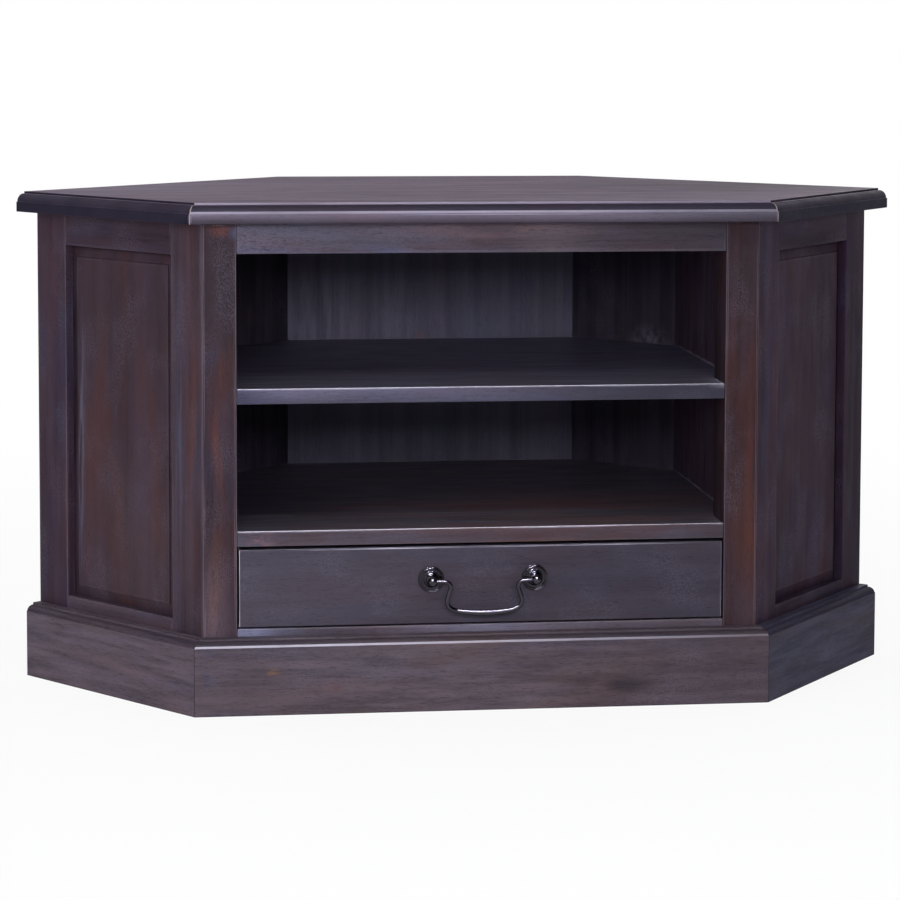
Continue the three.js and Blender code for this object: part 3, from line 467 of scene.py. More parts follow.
# Darker, duller stain on the sloping facets of the convex moulding, and most on the upright facets of the wing
# edges: painted shade, partly pooled stain
dress(topBoard, "top_board", sideways, "top_wood", across=inwards,
      keep=lambda e: (e.calc_length() > topBoard["shortEdge"] * mm
                      or min(v.co.z for v in e.verts) > topBoard["edgesFrom"] * mm),
      rubbed=lambda place: place.y < topBoard["wornBefore"] * mm and place.z > topBoard["wornFrom"] * mm,
      brushed=lambda place, n: (place.z < topBoard["lowerCurveTo"] * mm and stands(n, "steep")) or (
          place.z > topBoard["topFilletFrom"] * mm and abs(n.z) < slopes["upright"]),
      stained=lambda n: 1.0 if stands(n, "sloping") else (
          1.1 if abs(n.z) < slopes["upright"] and n.y > -slopes["sloping"] else 0.0))
print("top board dressed")

# Front frame
frontPosts = {
    "ease": 0.9,
    "look": dict(deepStain, seed=5, warm="#4d2b22", warmShare=0.5, specular=0.08, rubStrength=0.35),
    # the tints are also painted light and shade: the right post darker for the light it gets
    "tints": {"front_post_left": (0.78, 0.74, 0.72), "front_post_right": (0.6, 0.5, 0.46)},
    "marks": {
        "front_post_left": {"spots": marks(
            -26, 20, (175, 0, 130, 40, "#241b22", 0.75), (231, 8, 10, 17, "#66382a", 0.6),
            (228, 22, 10, 8, "#474c6c", 0.6), (150, -4, 120, 24, "#2c2a3c", 0.6, (24, 12)),
            (30, 6, 120, 13, "#5e3325", 0.6, (80, 9)), (-140, 2, 110, 13, "#65432f", 0.6, (60, 9)),
            (-190, 0, 140, 30, "#5f525e", 0.7))},
        "front_post_right": {"rubStrength": 0.2, "spots": marks(
            -26, 20, (195, 0, 60, 40, "#2b2128", 0.4), (-75, 0, 100, 30, "#5f3a2f", 0.32),
            (0, 4, 150, 12, "#552a1c", 0.6, (90, 9)), (-190, 0, 110, 30, "#4a3a43", 0.75)) + marks(
            24, 36, (60, -26, 420, 9, "#19151b", 0.8))},
    },
}
onBothSides(frontPosts, "front_post", upright, "body_wood")
frontRails = {
    "ease": 0.7,
    "look": dict(deepStain, dark="#332a33", light="#554a57", cool="#454a5e", seed=8, coolShare=0.6, broad=(260, 12),
                 specular=0.14, rubStrength=0.12, fineShare=0.5, poreShare=0.6),
    # the tints are also painted light and shade: the top rail darker, the bottom rail paler
    "tints": {"front_top_rail": (0.82, 0.85, 0.86), "front_bottom_rail": (1.35, 1.5, 1.5)},
    "marks": {
        # painted sheen, pale bluish and speckled at the left end, and painted shade darker towards the right end
        "front_top_rail": {"spots": marks(
            10, 20, (-240, -4, 260, 30, "#625e76", 0.2, (60, 9)), (-140, -13, 220, 9, "#3f4468", 0.6, (70, 9)),
            (-230, 0, 90, 30, "#7f7d94", 0.25, (3, 1.2)), (20, 6, 130, 12, "#6b4f4c", 0.5, (50, 7)),
            (70, 0, 60, 40, "#7a696e", 0.25), (280, 0, 350, 80, "#1e1820", 0.65))},
        # painted sheen, pale bluish at the left end, and painted shade darker towards the right end
        "front_bottom_rail": {"spots": marks(
            10, 30, (210, 22, 260, 40, "#4a3f47", 0.85), (-228, 22, 36, 30, "#8587a6", 0.6),
            (-150, 22, 75, 30, "#3d333c", 0.75), (5, 22, 80, 30, "#7a788e", 0.5))},
    },
}
dress(frontRails, "front_top_rail", sideways, "body_wood")
dress(frontRails, "front_bottom_rail", sideways, "body_wood", {"seed": 9})
print("front frame dressed")

# Wings: a frame of two stiles and two rails round a fielded panel
wingFrames = {
    "ease": 0.7,
    "look": dict(deepStain, light="#44363f", specular=0.05, rubStrength=0.22),
    # tints, also painted light and shade: the right wing darker; on the left, top rail darker, bottom rail paler
    "tints": {
        "wing_front_stile_left": (1.05, 1.1, 1.1), "wing_rear_stile_left": (0.8, 0.74, 0.85),
        "wing_top_rail_left": (0.72, 0.76, 0.88), "wing_bottom_rail_left": (1.2, 1.35, 1.35),
        "wing_front_stile_right": (0.7, 0.65, 0.84), "wing_rear_stile_right": (0.48, 0.42, 0.6),
        "wing_top_rail_right": (0.5, 0.45, 0.67), "wing_bottom_rail_right": (0.5, 0.48, 0.64),
    },
    "marks": dict(
        # right wing: faint pale rub, so fewer painted highlights; a dark strip of painted shadow on the rear stile
        {f"wing_{part}_right": {"specular": 0.02, "rubStrength": 0.04}
         for part in ("front_stile", "top_rail", "bottom_rail")},
        wing_rear_stile_right={"specular": 0.02, "rubStrength": 0.04, "spots": marks(
            -14, 15, (0, -16, 700, 15, "#1f191d", 0.8))},
        wing_front_stile_left={"spots": marks(
            0, 80, (40, 3, 170, 10, "#5f3d34", 0.5, (120, 6)), (20, -12, 230, 7, "#4b5068", 0.5, (90, 5)))}),
}
for part, along, seed in (("front_stile", upright, 12), ("rear_stile", upright, 14),
                          ("top_rail", wingWards, 16), ("bottom_rail", wingWards, 18)):
    onBothSides(wingFrames, f"wing_{part}", along, "body_wood", {"seed": seed})
wingPanels = {
    "ease": 0.5,
    "look": dict(deepStain, seed=21, specular=0.05, broad=(420, 28), warm="#4b2d24", warmShare=0.5,
                 warmPatch=(200, 34), dark="#31252c", light="#41323a", rubStrength=0.06, coolShare=0.35),
    # tints, also painted light and shade: the right panel darker
    "tints": {"wing_panel_left": (1.0, 0.95, 0.98), "wing_panel_right": (0.7, 0.63, 0.8)},
    "marks": {
        "wing_panel_right": {"specular": 0.02},
        # painted shade darker under the top and paler below
        "wing_panel_left": {"spots": marks(
            0, 400, (110, 0, 120, 110, "#2e2329", 0.4), (-110, 10, 130, 70, "#544243", 0.25),
            # painted highlights, pale bluish, on the bevels, and painted shadow, a dark line by the frame
            (-20, -46, 190, 6, "#6b6f84", 0.45, (60, 2)), (20, -53, 260, 4, "#15131b", 0.8, (60, 3)),
            (50, 51, 190, 5, "#646b82", 0.6, (120, 3)))},
    },
}
onBothSides(wingPanels, "wing_panel", upright, "panel_wood")
print("wings dressed")

# Plinth boards
plinth = {
    # the moulding between these heights takes the pale rub: wear and a painted highlight
    "ease": 0.6, "shortEdge": 100, "wornBetween": (60, 69),  # heights where the moulding is rubbed
    # the rub fades to the right as painted light falloff
    "look": dict(deepStain, dark="#372c33", light="#5a4b52", warm="#57403b", cool="#3f3f50", seed=25, poreShare=0.6,
                 broad=(90, 8), fine=(15, 1.3), warmShare=0.5, coolShare=0.3, worn="#c6c1d2", fineShare=0.5,
                 specular=0.14, rubStrength=0.75, rubFade=(-120, 260, 0.2), pooled=0.4, wander=4),
    # tints, also painted light and shade: the right board darker
    "tints": {
        "plinth_left": (1.02, 1.09, 1.2), "plinth_front": (1.04, 1.13, 1.16), "plinth_right": (0.48, 0.64, 0.89)},
    "marks": {
        "plinth_right": {"specular": 0.03},
        # painted shade: darker towards the right end
        "plinth_front": {"spots": marks(
            -9, 60, (280, 0, 360, 90, "#352b33", 0.75)) + marks(
            9, 60, (-102, 15, 24, 9, "#2c242b", 0.55), (138, -15, 32, 12, "#241c23", 0.75),
            (126, -13, 75, 20, "#2b2229", 0.85, (50, 9)), (-232, 0, 70, 70, "#453c47", 0.4),
            (-205, 5, 12, 6, "#7a5a3c", 0.6, (12, 3)), (-150, -10, 30, 8, "#5c3238", 0.55, (16, 3)),
            (-246, -36, 60, 9, "#252a3c", 0.8, (40, 8)), (-268, 12, 16, 40, "#363a52", 0.6, (14, 20)))},
    },
}
plinthEdges = {
    "keep": lambda e: e.calc_length() > plinth["shortEdge"] * mm,  # the mitres stay sharp
    # darker stain on the sloping facets of the convex moulding: painted shade, partly pooled stain
    "stained": lambda n: float(stands(n, "sloping")),
    "rubReach": 2.4,
}
wearAndGlintLow, wearAndGlintHigh = plinth["wornBetween"]
# the front's steep facets take the pale rub all over, as a painted highlight line; the side boards take none
dress(plinth, "plinth_front", sideways, "plinth_wood", rubbed=lambda place: wearAndGlintLow * mm < place.z < wearAndGlintHigh * mm,
      brushed=lambda place, n: stands(n, "steep"), **plinthEdges)
onBothSides(plinth, "plinth", wingWards, "plinth_wood", {"seed": 27}, rubbed=lambda place: False, **plinthEdges)
print("plinth dressed")

# Shelves, and the partitions beside the bays
shelves = {
    "ease": 0.8,
    "look": dict(deepStain, dark="#38343f", light="#57525f", warm="#51404a", cool="#4c5166", seed=31,
                 broad=(420, 14), worn="#b4b1c4", roughness=0.38, specular=0.4, rubStrength=0.7,
                 rubFade=(120, 250, 0.4), pooled=0.02, pool="#3c3a48", poolGloss=0.35),
    # tints, also painted light and shade: the left partition and middle shelf paler, the right partition darker
    "tints": {"partition_left": (2.7, 2.2, 2.6), "partition_right": (0.8, 0.7, 0.7),
              "middle_shelf": (1.12, 1.14, 1.3)},
    "marks": {
        # painted shade on the front edge towards the right; painted light, a pale patch at the top's right front
        "middle_shelf": {"spots": marks(
            -9, 9, (0, -224, 600, 12, "#2a2836", 0.5)) + marks(
            0, 20, (-235, -224, 60, 8, "#46507a", 0.6, (20, 14)), (-240, -224, 50, 8, "#272a40", 0.75)) + marks(
            0, 40, (220, -224, 320, 9, "#22202c", 0.92)) + marks(
            0, 16, (60, -224, 60, 9, "#33344c", 0.5, (40, 6))) + marks(
            8, 8, (-80, 60, 330, 160, "#5f6078", 0.5, (200, 40)), (246, -200, 34, 60, "#a7a3ba", 0.6))},
        # painted shade on the front edge's right end; painted light, a pale patch at the top's right front
        "lower_shelf": {"spots": marks(
            -8, 5, (-20, -224, 250, 10, "#7a4a34", 0.6, (40, 6))) + marks(
            2, 8, (60, -224, 200, 10, "#4d2f35", 0.5, (50, 8))) + marks(
            0, 14, (-215, -224, 22, 8, "#9a6a70", 0.6, (14, 8))) + marks(
            8, 8, (246, -205, 34, 45, "#8d8794", 0.35)) + marks(
            0, 30, (235, -224, 50, 9, "#2f2427", 0.55)) + marks(
            8, 8, (190, -150, 110, 120, "#2b2631", 0.55), (50, -130, 350, 190, "#6f4c48", 0.85, (170, 40)),
            (-230, -60, 190, 260, "#2f2c3b", 0.6))},
    },
}
shelfFront = {"stained": lambda n: float(n.y < -0.97), "rubReach": 0.8}  # darker front edge, narrow rub
# the top arrises take the pale rub, wear and painted highlight, fading to the right as painted light falloff
dress(shelves, "middle_shelf", sideways, "shelf_wood", across=inwards, rubbed=lambda place: place.z > 308 * mm,
      **shelfFront)
dress(shelves, "lower_shelf", sideways, "shelf_wood",
      {"seed": 33, "warm": "#4c3028", "warmShare": 0.7, "pooled": 0.3, "pool": "#33222a"}, across=inwards,
      rubbed=lambda place: place.z > 170 * mm, **shelfFront)
onBothSides(shelves, "partition", upright, "shelf_wood",
            {"seed": 35, "dark": "#33293a", "light": "#4f4252", "cool": "#3b3949", "specular": 0.08}, across=inwards)

# Hidden boards are stained but not lacquered: browner and duller
bareInside = {
    "ease": 0.6,
    "look": dict(deepStain, dark="#3c2c24", light="#6a5040", warm="#6b452c", cool="#4b4440", pore="#241912", seed=38,
                 roughness=0.68, worn="#8a7361", rubStrength=0.3, specular=0.2),
}
dress(bareInside, "bottom_board", sideways, "inner_wood", across=inwards)
onBothSides(bareInside, "drawer_runner", inwards, "inner_wood", {"seed": 40})
dress(bareInside, "drawer_stop", sideways, "inner_wood", {"seed": 42})
onBothSides(bareInside, "top_cleat", inwards, "inner_wood", {"seed": 43}, keep=lambda e: e.calc_length() > 4 * mm)
onBothSides(bareInside, "rear_corner_post", upright, "inner_wood", {"seed": 45})
print("inside dressed")

# Back: plywood panels between framed posts and rails
backPanels = {
    "ease": 0.4,
    "look": dict(deepStain, dark="#474553", light="#5c5968", warm="#544c55", cool="#4d5168", seed=50,
                 broad=(600, 12), fine=(260, 1.8), fineShare=0.45, poreShare=0.3, roughness=0.6, specular=0.08,
                 worn="#57525c", rubStrength=0.1, wander=3, marksInside=True),
    "marks": {
        # painted light and shade: pale band under the middle shelf, pale patches in the upper bay, lower bay darker
        "back_panel_centre": {"spots": marks(
            -3, 9, (42, 0, 30, 400, "#918c9e", 0.6), (-110, 0, 130, 400, "#2b2934", 0.4),
            (90, -130, 90, 70, "#817f92", 0.35, (120, 8)), (75, -20, 70, 130, "#6f6d80", 0.5, (120, 14)),
            (70, -12, 18, 10, "#73565a", 0.6, (10, 6)))},
        "back_panel_right": {"spots": marks(
            47, 38, (68, -50, 26, 34, "#6a6471", 0.55, (12, 8)))},
    },
}
dress(backPanels, "back_panel_centre", upright, "back_plywood")
# the side back panels are a darker copy of the same plywood: painted shade
onBothSides(backPanels, "back_panel", upright, "back_plywood",
            {"seed": 52, "dark": "#1e1b24", "light": "#352f3b", "warm": "#2e2226", "cool": "#2a2b38"})
backFrame = {
    "ease": 0.6,
    "look": dict(deepStain, seed=55, roughness=0.55, rubStrength=0.35),
}
onBothSides(backFrame, "back_post", upright, "body_wood")
diagonalWards = Vector((-math.sqrt(0.5), math.sqrt(0.5), 0))  # along the right back side, at 45 degrees
for height in ("top", "bottom"):
    dress(backFrame, f"back_{height}_rail_centre", sideways, "body_wood", {"seed": 57})
    onBothSides(backFrame, f"back_{height}_rail", diagonalWards, "body_wood", {"seed": 59})
print("back dressed")

# Drawer: a solid front, and a plain box behind it
drawerFront = {
    "ease": 1.0,
    "look": dict(deepStain, dark="#3c3643", light="#4d4654", warm="#493c44", cool="#424558", seed=63,
                 fineShare=0.45, broad=(220, 16), warmShare=0.4, coolShare=0.4, worn="#cbc7da", specular=0.12,
                 rubStrength=1.0, rubPatch=(160, 160), rubFade=(60, 240, 0.3)),
    "tints": {"drawer_front": (0.68, 0.67, 0.68)},
    # painted light and shade: the front paler at its left end and darker at its right
    "marks": {"drawer_front": {"spots": marks(
        10, 30, (-250, 0, 300, 90, "#544d59", 0.35), (250, 0, 330, 90, "#2a232e", 0.42))}},
}
# all but the bottom edge takes the pale rub, wear and painted highlight, fading to the right as painted light falloff
dress(drawerFront, "drawer_front", sideways, "drawer_wood", keep=lambda e: e.calc_length() > 5 * mm,
      rubReach=1.2, rubbed=lambda place: place.z > 92 * mm)
onBothSides(bareInside, "drawer_side", inwards, "inner_wood", {"seed": 66})
dress(bareInside, "drawer_back", sideways, "inner_wood", {"seed": 68})
dress(dict(bareInside, ease=0.3), "drawer_bottom", sideways, "drawer_plywood", {"seed": 70, "broad": (300, 40)},
      across=inwards)
print("drawer dressed")


# Metalwork

def worked(name, look):
    # Small metal part: soft clouds where it was handled, fine pits from casting or plating
    material, tree, shader = newMaterial(name, {
        "Metallic": 1.0, "Roughness": look["roughness"], "Coat Weight": look["coat"]})
    place = addNode(tree, "TexCoord").outputs["Object"]
    cloud = addNode(tree, "TexNoise", {"Vector": place, "Scale": 1000 / look["cloud"], "Detail": 4.0})
    pits = addNode(tree, "TexNoise", {"Vector": place, "Scale": 1000 / look["pit"], "Detail": 2.0})
    colour = addNode(tree, "Mix", {
        "data_type": "RGBA", 0: cloud.outputs["Fac"], 6: linearColour(look["dark"]), 7: linearColour(look["light"])})
    tree.links.new(colour.outputs[2], shader.inputs["Base Color"])
    low, high = look["cloudCut"]
    smoother, rougher = look["glossRange"]
    gloss = addNode(tree, "MapRange", {
        "Value": cloud.outputs["Fac"], "From Min": low, "From Max": high, "To Min": look["roughness"] + smoother,
        "To Max": look["roughness"] + rougher})
    tree.links.new(gloss.outputs[0], shader.inputs["Roughness"])
    bump = addNode(tree, "Bump", {
        "Height": pits.outputs["Fac"], "Strength": look["relief"], "Distance": look["pitDepth"] * mm})
    tree.links.new(bump.outputs[0], shader.inputs["Normal"])
    return material


def spun(rings, sides, closed=False):
    # a turned body: rings of radius and height in mm, either of which may depend on the angle
    bm = bmesh.new()
    loops = []
    for radius, height in rings:
        if radius == 0:
            loops.append([bm.verts.new((0, 0, height * mm))])
            continue
        loop = []
        for i in range(sides):
            angle = 2 * math.pi * i / sides
            r = radius(angle) if callable(radius) else radius
            h = height(angle) if callable(height) else height
            loop.append(bm.verts.new((r * mm * math.cos(angle), r * mm * math.sin(angle), h * mm)))
        loops.append(loop)
    for first, second in zip(loops, loops[1:] + loops[:1] if closed else loops[1:]):
        for i in range(sides):
            corners = [first[i % len(first)], first[(i + 1) % sides % len(first)],
                       second[(i + 1) % sides % len(second)], second[i % len(second)]]
            bm.faces.new(list(dict.fromkeys(corners)))
    return bm


def arc(centre, radius, start, end, steps):
    # points on an arc in the plane of radius and height, angles in degrees
    turns = [math.radians(start + (end - start) * i / steps) for i in range(steps + 1)]
    return [(centre[0] + radius * math.cos(t), centre[1] + radius * math.sin(t)) for t in turns]


def metalPiece(name, bm, body, slot, material, crease=35):
    # closed smooth mesh with creases only where the form turns sharply
    bmesh.ops.recalc_face_normals(bm, faces=bm.faces)
    for face in bm.faces:
        face.smooth = True
    for edge in bm.edges:
        edge.smooth = len(edge.link_faces) == 2 and edge.calc_face_angle(0) < math.radians(crease)
    mesh = bpy.data.meshes.new(name)
    bm.to_mesh(mesh)
    bm.free()
    mesh.materials.append(material)
    piece = addObject(name, mesh)
    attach(piece, body)
    return piece


def carve(bm, tool):
    # cuts one closed bmesh out of another with the exact boolean
    parts = []
    for form in (bm, tool):
        bmesh.ops.recalc_face_normals(form, faces=form.faces)
        mesh = bpy.data.meshes.new("carving")
        form.to_mesh(mesh)
        form.free()
        parts.append(addObject("carving", mesh))
    cut = parts[0].modifiers.new("cut", "BOOLEAN")
    cut.operation, cut.solver, cut.object = "DIFFERENCE", "EXACT", parts[1]
    bpy.context.view_layer.update()
    result = bmesh.new()
    result.from_object(parts[0], bpy.context.evaluated_depsgraph_get())
    for part in parts:
        mesh = part.data
        bpy.data.objects.remove(part)
        bpy.data.meshes.remove(mesh)
    return result


def threadRings(start, end, crest, depth, pitch, stepsPerTurn=6):
    # rings whose radius follows a helical ridge, run out at both ends
    def radiusAt(height):
        def radius(angle):
            phase = (height / pitch - angle / (2 * math.pi)) % 1
            fade = min(1, (height - start) / pitch, (end - height) / pitch)
            return crest - depth * max(0, fade) * abs(2 * phase - 1)
        return radius
    count = round((end - start) / pitch * stepsPerTurn)
    heights = [start + (end - start) * i / count for i in range(count + 1)]
    return [(radiusAt(height), height) for height in heights]


def bead(middle):
    # a turned bead of the rosette, between two hollows
    return [(middle + 0.95, 1.95)] + arc((middle, 2.1), 1.0, 10, 170, 10) + [(middle - 0.95, 1.95)]


# Lengths in mm; the profiles are pairs of radius and height above the drawer front
handle = {
    "spacing": 101.6, "reach": 14.0,  # between the studs, and from the drawer front to the bail
    "rosette": [
        (2.3, 0), *arc((12.3, 0.5), 0.5, -90, 0, 4), *arc((12.1, 1.45), 0.7, 0, 90, 6), *bead(10.75), *bead(7.94),
        (6.3, 2.15), (5.7, 2.5), (5.2, 3.1), (4.8, 3.75), (4.3, 4.25), (3.8, 4.4), (2.3, 4.4)],
    "tailEnd": -29.0, "tailTip": 1.6,
    "thread": {"start": -28.7, "end": -17, "crest": 2.0, "depth": 0.35, "pitch": 0.7},
    "collar": [(2.0, 4.7), *arc((3.7, 5.2), 0.5, -90, 0, 4), *arc((3.7, 6.5), 0.5, 0, 90, 4)],
    "neck": [(3.3, 7.2), (2.95, 7.8), (2.75, 8.6), (2.7, 9.4)], "neckRadius": 2.8,
    "ball": 4.9, "eye": 2.4, "drill": 8,  # radii, and half the length of the drill that cuts the eye
    "nut": {"radius": 5.0, "thickness": 4.0, "bore": 2.3, "countersink": (2.7, 0.4), "chamfer": 0.15,
            "chamferLift": 0.05, "chamferReach": 0.1},
}
# The bail's right half: its end past the stud, then the swan neck as mm outwards from the neck's middle and up
# from the studs, and the grip's heights at half way and in the middle
bail = {
    "end": 1.6, "armLength": 17.9, "gripHeights": (-30.2, -31),
    "swanNeck": [(8, -0.2), (2.4, -1.2), (0, -5), (1.5, -11), (3.7, -19), (2, -24.6), (-4.2, -28.2)],
    "waist": -11, "endRadius": 1.9, "waistRadius": 2.2, "gripRadius": 3.1, "sides": 32,
}
texture = {"cloud": 6, "cloudCut": (0.3, 0.7), "pit": 0.9, "pitDepth": 0.03, "glossRange": (-0.06, 0.1)}  # mm
# Zinc casting, tumbled smooth, blackened and lacquered: near-black with crisp highlights, greyer where
# hands have rubbed it
handleMetal = worked("blackened zinc casting", dict(
    texture, dark="#1a171d", light="#403b47", roughness=0.11, coat=0.5, relief=0.05))
# Bright zinc plating over steel: pale grey with a soft sheen
steel = worked("zinc plated steel", dict(
    texture, dark="#77777a", light="#a2a2a6", roughness=0.36, coat=0.0, relief=0.3))

rosetteLow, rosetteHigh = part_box("handle_rosette_right")
studPlace = (rosetteLow + rosetteHigh) / 2
studPlace.y = rosetteHigh.y  # back of the rosette, on the drawer front
facingFront = Matrix.Rotation(math.radians(90), 4, "X")


def fitOnDrawer(name, bm, place, slot, material, **options):
    # turns a body that stands on its foot to face the front, and puts it in the place of the plain piece
    bm.transform(Matrix.Translation(place) @ facingFront)
    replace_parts(metalPiece(name + "_turned", bm, "drawer", slot, material, **options), name)


def studForm():
    ball, reach, tailEnd, drill = handle["ball"], handle["reach"], handle["tailEnd"], handle["drill"]
    neckTurn = math.degrees(math.asin(handle["neckRadius"] / ball))
    profile = [(0, tailEnd), (handle["tailTip"], tailEnd)] + threadRings(**handle["thread"])
    profile += handle["collar"] + handle["neck"]
    profile += arc((0, reach), ball, -90 + neckTurn, 90, 28)[:-1] + [(0, reach + ball)]
    eye = spun([(0, -drill), (handle["eye"], -drill), (handle["eye"], drill), (0, drill)], 48)
    eye.transform(Matrix.Translation((0, 0, reach * mm)) @ Matrix.Rotation(math.radians(90), 4, "Y"))
    return carve(spun(profile, 64), eye)


def nutForm():
    # hexagon nut with a smooth bore, its corners chamfered on both sides
    radius, thickness, bore, (mouth, sink), chamfer, lift, reach = handle["nut"].values()
    flat = radius * math.cos(math.pi / 6)

    def hexagon(angle):
        return flat / math.cos((angle % (math.pi / 3)) - math.pi / 6)

    def lower(angle):
        return lift + (hexagon(angle) - flat + reach) / math.sqrt(3)

    profile = [(mouth, 0), (flat - chamfer, 0), (hexagon, lower), (hexagon, lambda a: thickness - lower(a)),
               (flat - chamfer, thickness), (mouth, thickness), (bore, thickness - sink), (bore, sink)]
    return spun(profile, 96, closed=True)


def smoothPath(points, stepsEach=30):
    # centripetal curve through the points, as dense points
    ends = [2 * points[0] - points[1]] + points + [2 * points[-1] - points[-2]]
    path = []
    for i in range(1, len(ends) - 2):
        before, start, end, after = ends[i - 1:i + 3]
        first, middle, last = [(b - a).length ** 0.5 for a, b in ((before, start), (start, end), (end, after))]
        leave = ((start - before) / first - (end - before) / (first + middle) + (end - start) / middle) * middle
        arrive = ((end - start) / middle - (after - start) / (middle + last) + (after - end) / last) * middle
        for step in range(stepsEach):
            t = step / stepsEach
            path.append(start + leave * t + (3 * (end - start) - 2 * leave - arrive) * t ** 2
                        + (2 * (start - end) + leave + arrive) * t ** 3)
    return path + [ends[-2]]


def makeBail(place):
    half = handle["spacing"] / 2
    neck = half - bail["armLength"]
    halfwayDown, middleDown = bail["gripHeights"]
    right = [(half + bail["end"], 0), (half - handle["ball"], 0)]
    right += [(neck + out, up) for out, up in bail["swanNeck"]] + [(neck / 2, halfwayDown), (0, middleDown)]
    path = smoothPath([Vector((-x, 0, z)) for x, z in right[:-1]] + [Vector((x, 0, z)) for x, z in reversed(right)])
    endRadius, waistRadius, gripRadius = bail["endRadius"], bail["waistRadius"], bail["gripRadius"]

    def radiusAt(point):
        if point.z > bail["waist"]:
            return endRadius + (waistRadius - endRadius) * min(1, max(0, point.z / bail["waist"]))
        middle = min(1, max(0, 1 - abs(point.x) / neck))
        return waistRadius + (gripRadius - waistRadius) * math.sin(middle * math.pi / 2)

    bm = bmesh.new()
    rings = []
    sides = bail["sides"]
    for i, point in enumerate(path):
        along = (path[min(i + 1, len(path) - 1)] - path[max(i - 1, 0)]).normalized()
        across = inwards.cross(along).normalized()
        radius = radiusAt(point)
        rings.append([bm.verts.new((point + (across * math.cos(t) + inwards * math.sin(t)) * radius) * mm)
                      for t in (2 * math.pi * k / sides for k in range(sides))])
    for first, second in zip(rings, rings[1:]):
        for k in range(sides):
            bm.faces.new((first[k], first[(k + 1) % sides], second[(k + 1) % sides], second[k]))
    bm.faces.new(rings[0])
    bm.faces.new(rings[-1])
    bm.transform(Matrix.Translation((0, place.y - handle["reach"] * mm, place.z)))
    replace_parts(metalPiece("handle_bail_swept", bm, "bail", "handle_metal", handleMetal), "handle_bail")


for side, sign in (("left", -1), ("right", 1)):
    place = Vector((sign * studPlace.x, studPlace.y, studPlace.z))
    nutPlace = Vector((place.x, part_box(f"handle_nut_{side}")[1].y, place.z))
    rosette = spun(handle["rosette"], 96, closed=True)
    fitOnDrawer(f"handle_rosette_{side}", rosette, place, "handle_metal", handleMetal)
    fitOnDrawer(f"handle_post_{side}", studForm(), place, "handle_metal", handleMetal)
    fitOnDrawer(f"handle_nut_{side}", nutForm(), nutPlace, "screw_steel", steel, crease=25)
makeBail(studPlace)
print("handle made")

# Lengths in mm; the head stands below its flat underside, the shank and point above it
topScrews = {
    "headHeight": 2.6,
    "head": [(0, -2.6), (1.8, -2.6), (3.0, -2.35), (3.8, -1.8), (4.2, -1.1), (4.2, -0.4), (3.9, 0)],
    "neck": 2.0, "point": [(1.2, 27.8), (0, 30.3)],
    "thread": {"start": 8, "end": 25.3, "crest": 2.2, "depth": 0.6, "pitch": 1.8},
    "slot": (4.6, 1.1), "slotDepth": 1.6, "slotTaper": 0.55, "slotLead": 0.5,  # its cutter starts outside the head
}


def makeScrew(node):
    # pan head with a cross recess, wood thread and a point
    height, neck, thread, lead = (topScrews[key] for key in ("headHeight", "neck", "thread", "slotLead"))
    shank = [(neck, 0), (neck, thread["start"])] + threadRings(**thread)[1:]
    bm = spun(topScrews["head"] + shank + topScrews["point"], 40)
    for wide, deep in (topScrews["slot"], topScrews["slot"][::-1]):
        bar = bmesh.new()
        for vert in bmesh.ops.create_cube(bar, size=1)["verts"]:
            taper = topScrews["slotTaper"] if vert.co.z > 0 else 1
            up = (vert.co.z + 0.5) * (topScrews["slotDepth"] + lead) - lead
            vert.co = Vector((vert.co.x * wide * taper, vert.co.y * deep * taper, up - height)) * mm
        bm = carve(bm, bar)
    low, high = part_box(node)
    middle = (low + high) / 2
    bm.transform(Matrix.Translation((middle.x, middle.y, low.z + height * mm)))
    screw = metalPiece(node + "_threaded", bm, frame["nodes"][node]["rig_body"], "screw_steel", steel)
    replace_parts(screw, node)


for end in ("front", "rear"):
    for side in ("left", "right"):
        makeScrew(f"top_screw_{end}_{side}")
print("screws made")


# Stage
view = {
    "place": Vector((-0.3824, -3.1067, 0.6656)),  # left of the middle and a little above the top
    "yaw": -0.1305, "pitch": -0.0818, "roll": -0.0034,
    "lens": 120.94, "shift": (-0.0333, -0.2), "reach": 60,
}
softbox = {"aim": (0, 0, 0.25), "size": (2.0, 2.0), "glossOnly": False}  # what a lamp has if nothing else is said
lamps = {
    "key lamp": {"place": (-0.15, -2.3, 0.82), "power": 22, "aim": (0, 0, 0.28), "size": (1.1, 0.3)},
    "overhead softbox": {"place": (0, -0.2, 3.0), "power": 16, "aim": (0, -0.05, 0.25)},
    "left fill": {"place": (-2.4, -2.4, 1.2), "power": 27},
    "right fill": {"place": (3.0, -1.6, 1.2), "power": 1},
    "rear left": {"place": (-2.2, 2.8, 1.5), "power": 34},
    "rear right": {"place": (2.2, 2.8, 1.5), "power": 34},
    "strip for glints": {
        "place": (-0.1, -1.6, 2.0), "power": 190, "aim": (0, -0.24, 0.13), "size": (1.5, 0.1), "glossOnly": True},
}
studio = {
    "daylight": 0.5, "lampColour": "#faf9ff",
    "paper": "#ececec", "paperSize": 20, "glow": 0.88, "glowReach": (0.6, 2.2),  # metres from the middle
    "ceiling": 0.1, "ceilingFrom": 0.35, "room": 0.15, "sweepFrom": (-0.5, 0.3),  # parts of the view's unit sphere
}
white = (1, 1, 1, 1)


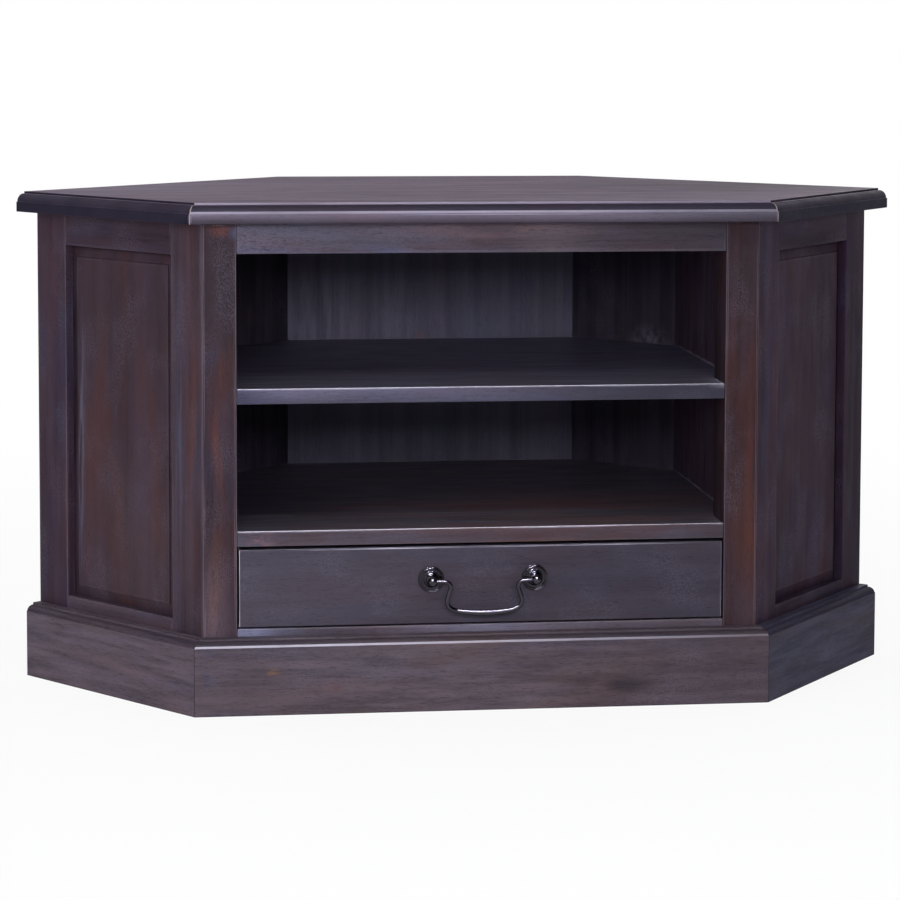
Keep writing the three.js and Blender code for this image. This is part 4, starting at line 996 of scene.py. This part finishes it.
def makeCamera():
    camera = addObject("camera", bpy.data.cameras.new("camera"))
    yaw, pitch, roll = view["yaw"], view["pitch"], view["roll"]
    right = Vector((math.cos(yaw), math.sin(yaw), 0))
    forward = Vector((-math.sin(yaw) * math.cos(pitch), math.cos(yaw) * math.cos(pitch), math.sin(pitch)))
    down = forward.cross(right)
    turnedRight = math.cos(roll) * right + math.sin(roll) * down
    turnedDown = math.cos(roll) * down - math.sin(roll) * right
    turn = Matrix((turnedRight, -turnedDown, -forward)).transposed().to_4x4()
    camera.matrix_world = Matrix.Translation(view["place"]) @ turn
    camera.data.lens = view["lens"]
    camera.data.shift_x, camera.data.shift_y = view["shift"]
    camera.data.clip_end = view["reach"]
    scene.camera = camera


def makeLamp(name, lamp):
    light = bpy.data.lights.new(name, "AREA")
    light.shape = "RECTANGLE"
    light.size, light.size_y = lamp["size"]
    light.energy = lamp["power"]
    light.color = linearColour(studio["lampColour"])[:3]
    holder = addObject(name, light)
    holder.location = lamp["place"]
    holder.rotation_euler = (Vector(lamp["aim"]) - Vector(lamp["place"])).to_track_quat("-Z", "Y").to_euler()
    holder.visible_camera = False
    holder.visible_diffuse = not lamp["glossOnly"]


def seenDirectly(tree):
    # 1 for rays that show the background: the camera's, and those in gloss and glass
    ray = addNode(tree, "LightPath")
    seen = addNode(tree, "Math", {
        "operation": "MAXIMUM", 0: ray.outputs["Is Camera Ray"], 1: ray.outputs["Is Glossy Ray"]})
    return addNode(tree, "Math", {
        "operation": "MAXIMUM", 0: seen.outputs[0], 1: ray.outputs["Is Transmission Ray"]}).outputs[0]


def makeFloor():
    # white seamless paper; it glows to full white away from the cabinet, so that no horizon shows
    floor = addObject("floor", bpy.data.meshes.new("floor"))
    bm = bmesh.new()
    bmesh.ops.create_grid(bm, x_segments=1, y_segments=1, size=studio["paperSize"])
    bm.to_mesh(floor.data)
    bm.free()
    material = bpy.data.materials.new("white seamless paper")
    material.use_nodes = True
    tree = material.node_tree
    tree.nodes.clear()
    paper = addNode(tree, "BsdfDiffuse", {"Color": linearColour(studio["paper"])})
    shine = addNode(tree, "Emission", {"Color": white})
    away = addNode(tree, "VectorMath", {
        "operation": "LENGTH", 0: addNode(tree, "TexCoord").outputs["Object"]})
    near, far = studio["glowReach"]
    glow = addNode(tree, "MapRange", {
        **smoothly, "Value": away.outputs["Value"], "From Min": near, "From Max": far,
        "To Min": studio["glow"]})
    share = addNode(tree, "Math", {"operation": "MULTIPLY", 0: seenDirectly(tree), 1: glow.outputs[0]})
    mixed = addNode(tree, "MixShader", {0: share.outputs[0], 1: paper.outputs[0], 2: shine.outputs[0]})
    addNode(tree, "OutputMaterial", {"Surface": mixed.outputs[0]})
    floor.data.materials.append(material)


def makeWorld():
    # for what is seen, a white sweep behind the cabinet under a dim ceiling, and a dark room in front of it;
    # even daylight for what is lit
    world = bpy.data.worlds.new("studio")
    world.use_nodes = True
    scene.world = world
    tree = world.node_tree
    tree.nodes.clear()
    towards = addNode(tree, "SeparateXYZ", {0: addNode(tree, "TexCoord").outputs["Generated"]})
    ceiling = addNode(tree, "MapRange", {
        **smoothly, "Value": towards.outputs["Z"], "From Max": studio["ceilingFrom"], "To Min": 1.0,
        "To Max": studio["ceiling"]})
    front, back = studio["sweepFrom"]
    sweep = addNode(tree, "MapRange", {
        **smoothly, "Value": towards.outputs["Y"], "From Min": front, "From Max": back,
        "To Min": studio["room"]})
    walled = addNode(tree, "Math", {"operation": "MULTIPLY", 0: ceiling.outputs[0], 1: sweep.outputs[0]})
    strength = addNode(tree, "Math", {
        "operation": "MAXIMUM", 0: walled.outputs[0], 1: addNode(tree, "LightPath").outputs["Is Camera Ray"]})
    walls = addNode(tree, "Background", {"Color": white, "Strength": strength.outputs[0]})
    daylight = addNode(tree, "Background", {"Color": white, "Strength": studio["daylight"]})
    mixed = addNode(tree, "MixShader", {0: seenDirectly(tree), 1: daylight.outputs[0], 2: walls.outputs[0]})
    addNode(tree, "OutputWorld", {"Surface": mixed.outputs[0]})


makeCamera()
for name, lamp in lamps.items():
    makeLamp(name, {**softbox, **lamp})
makeFloor()
makeWorld()
scene.view_settings.view_transform = "Standard"
print("stage set")
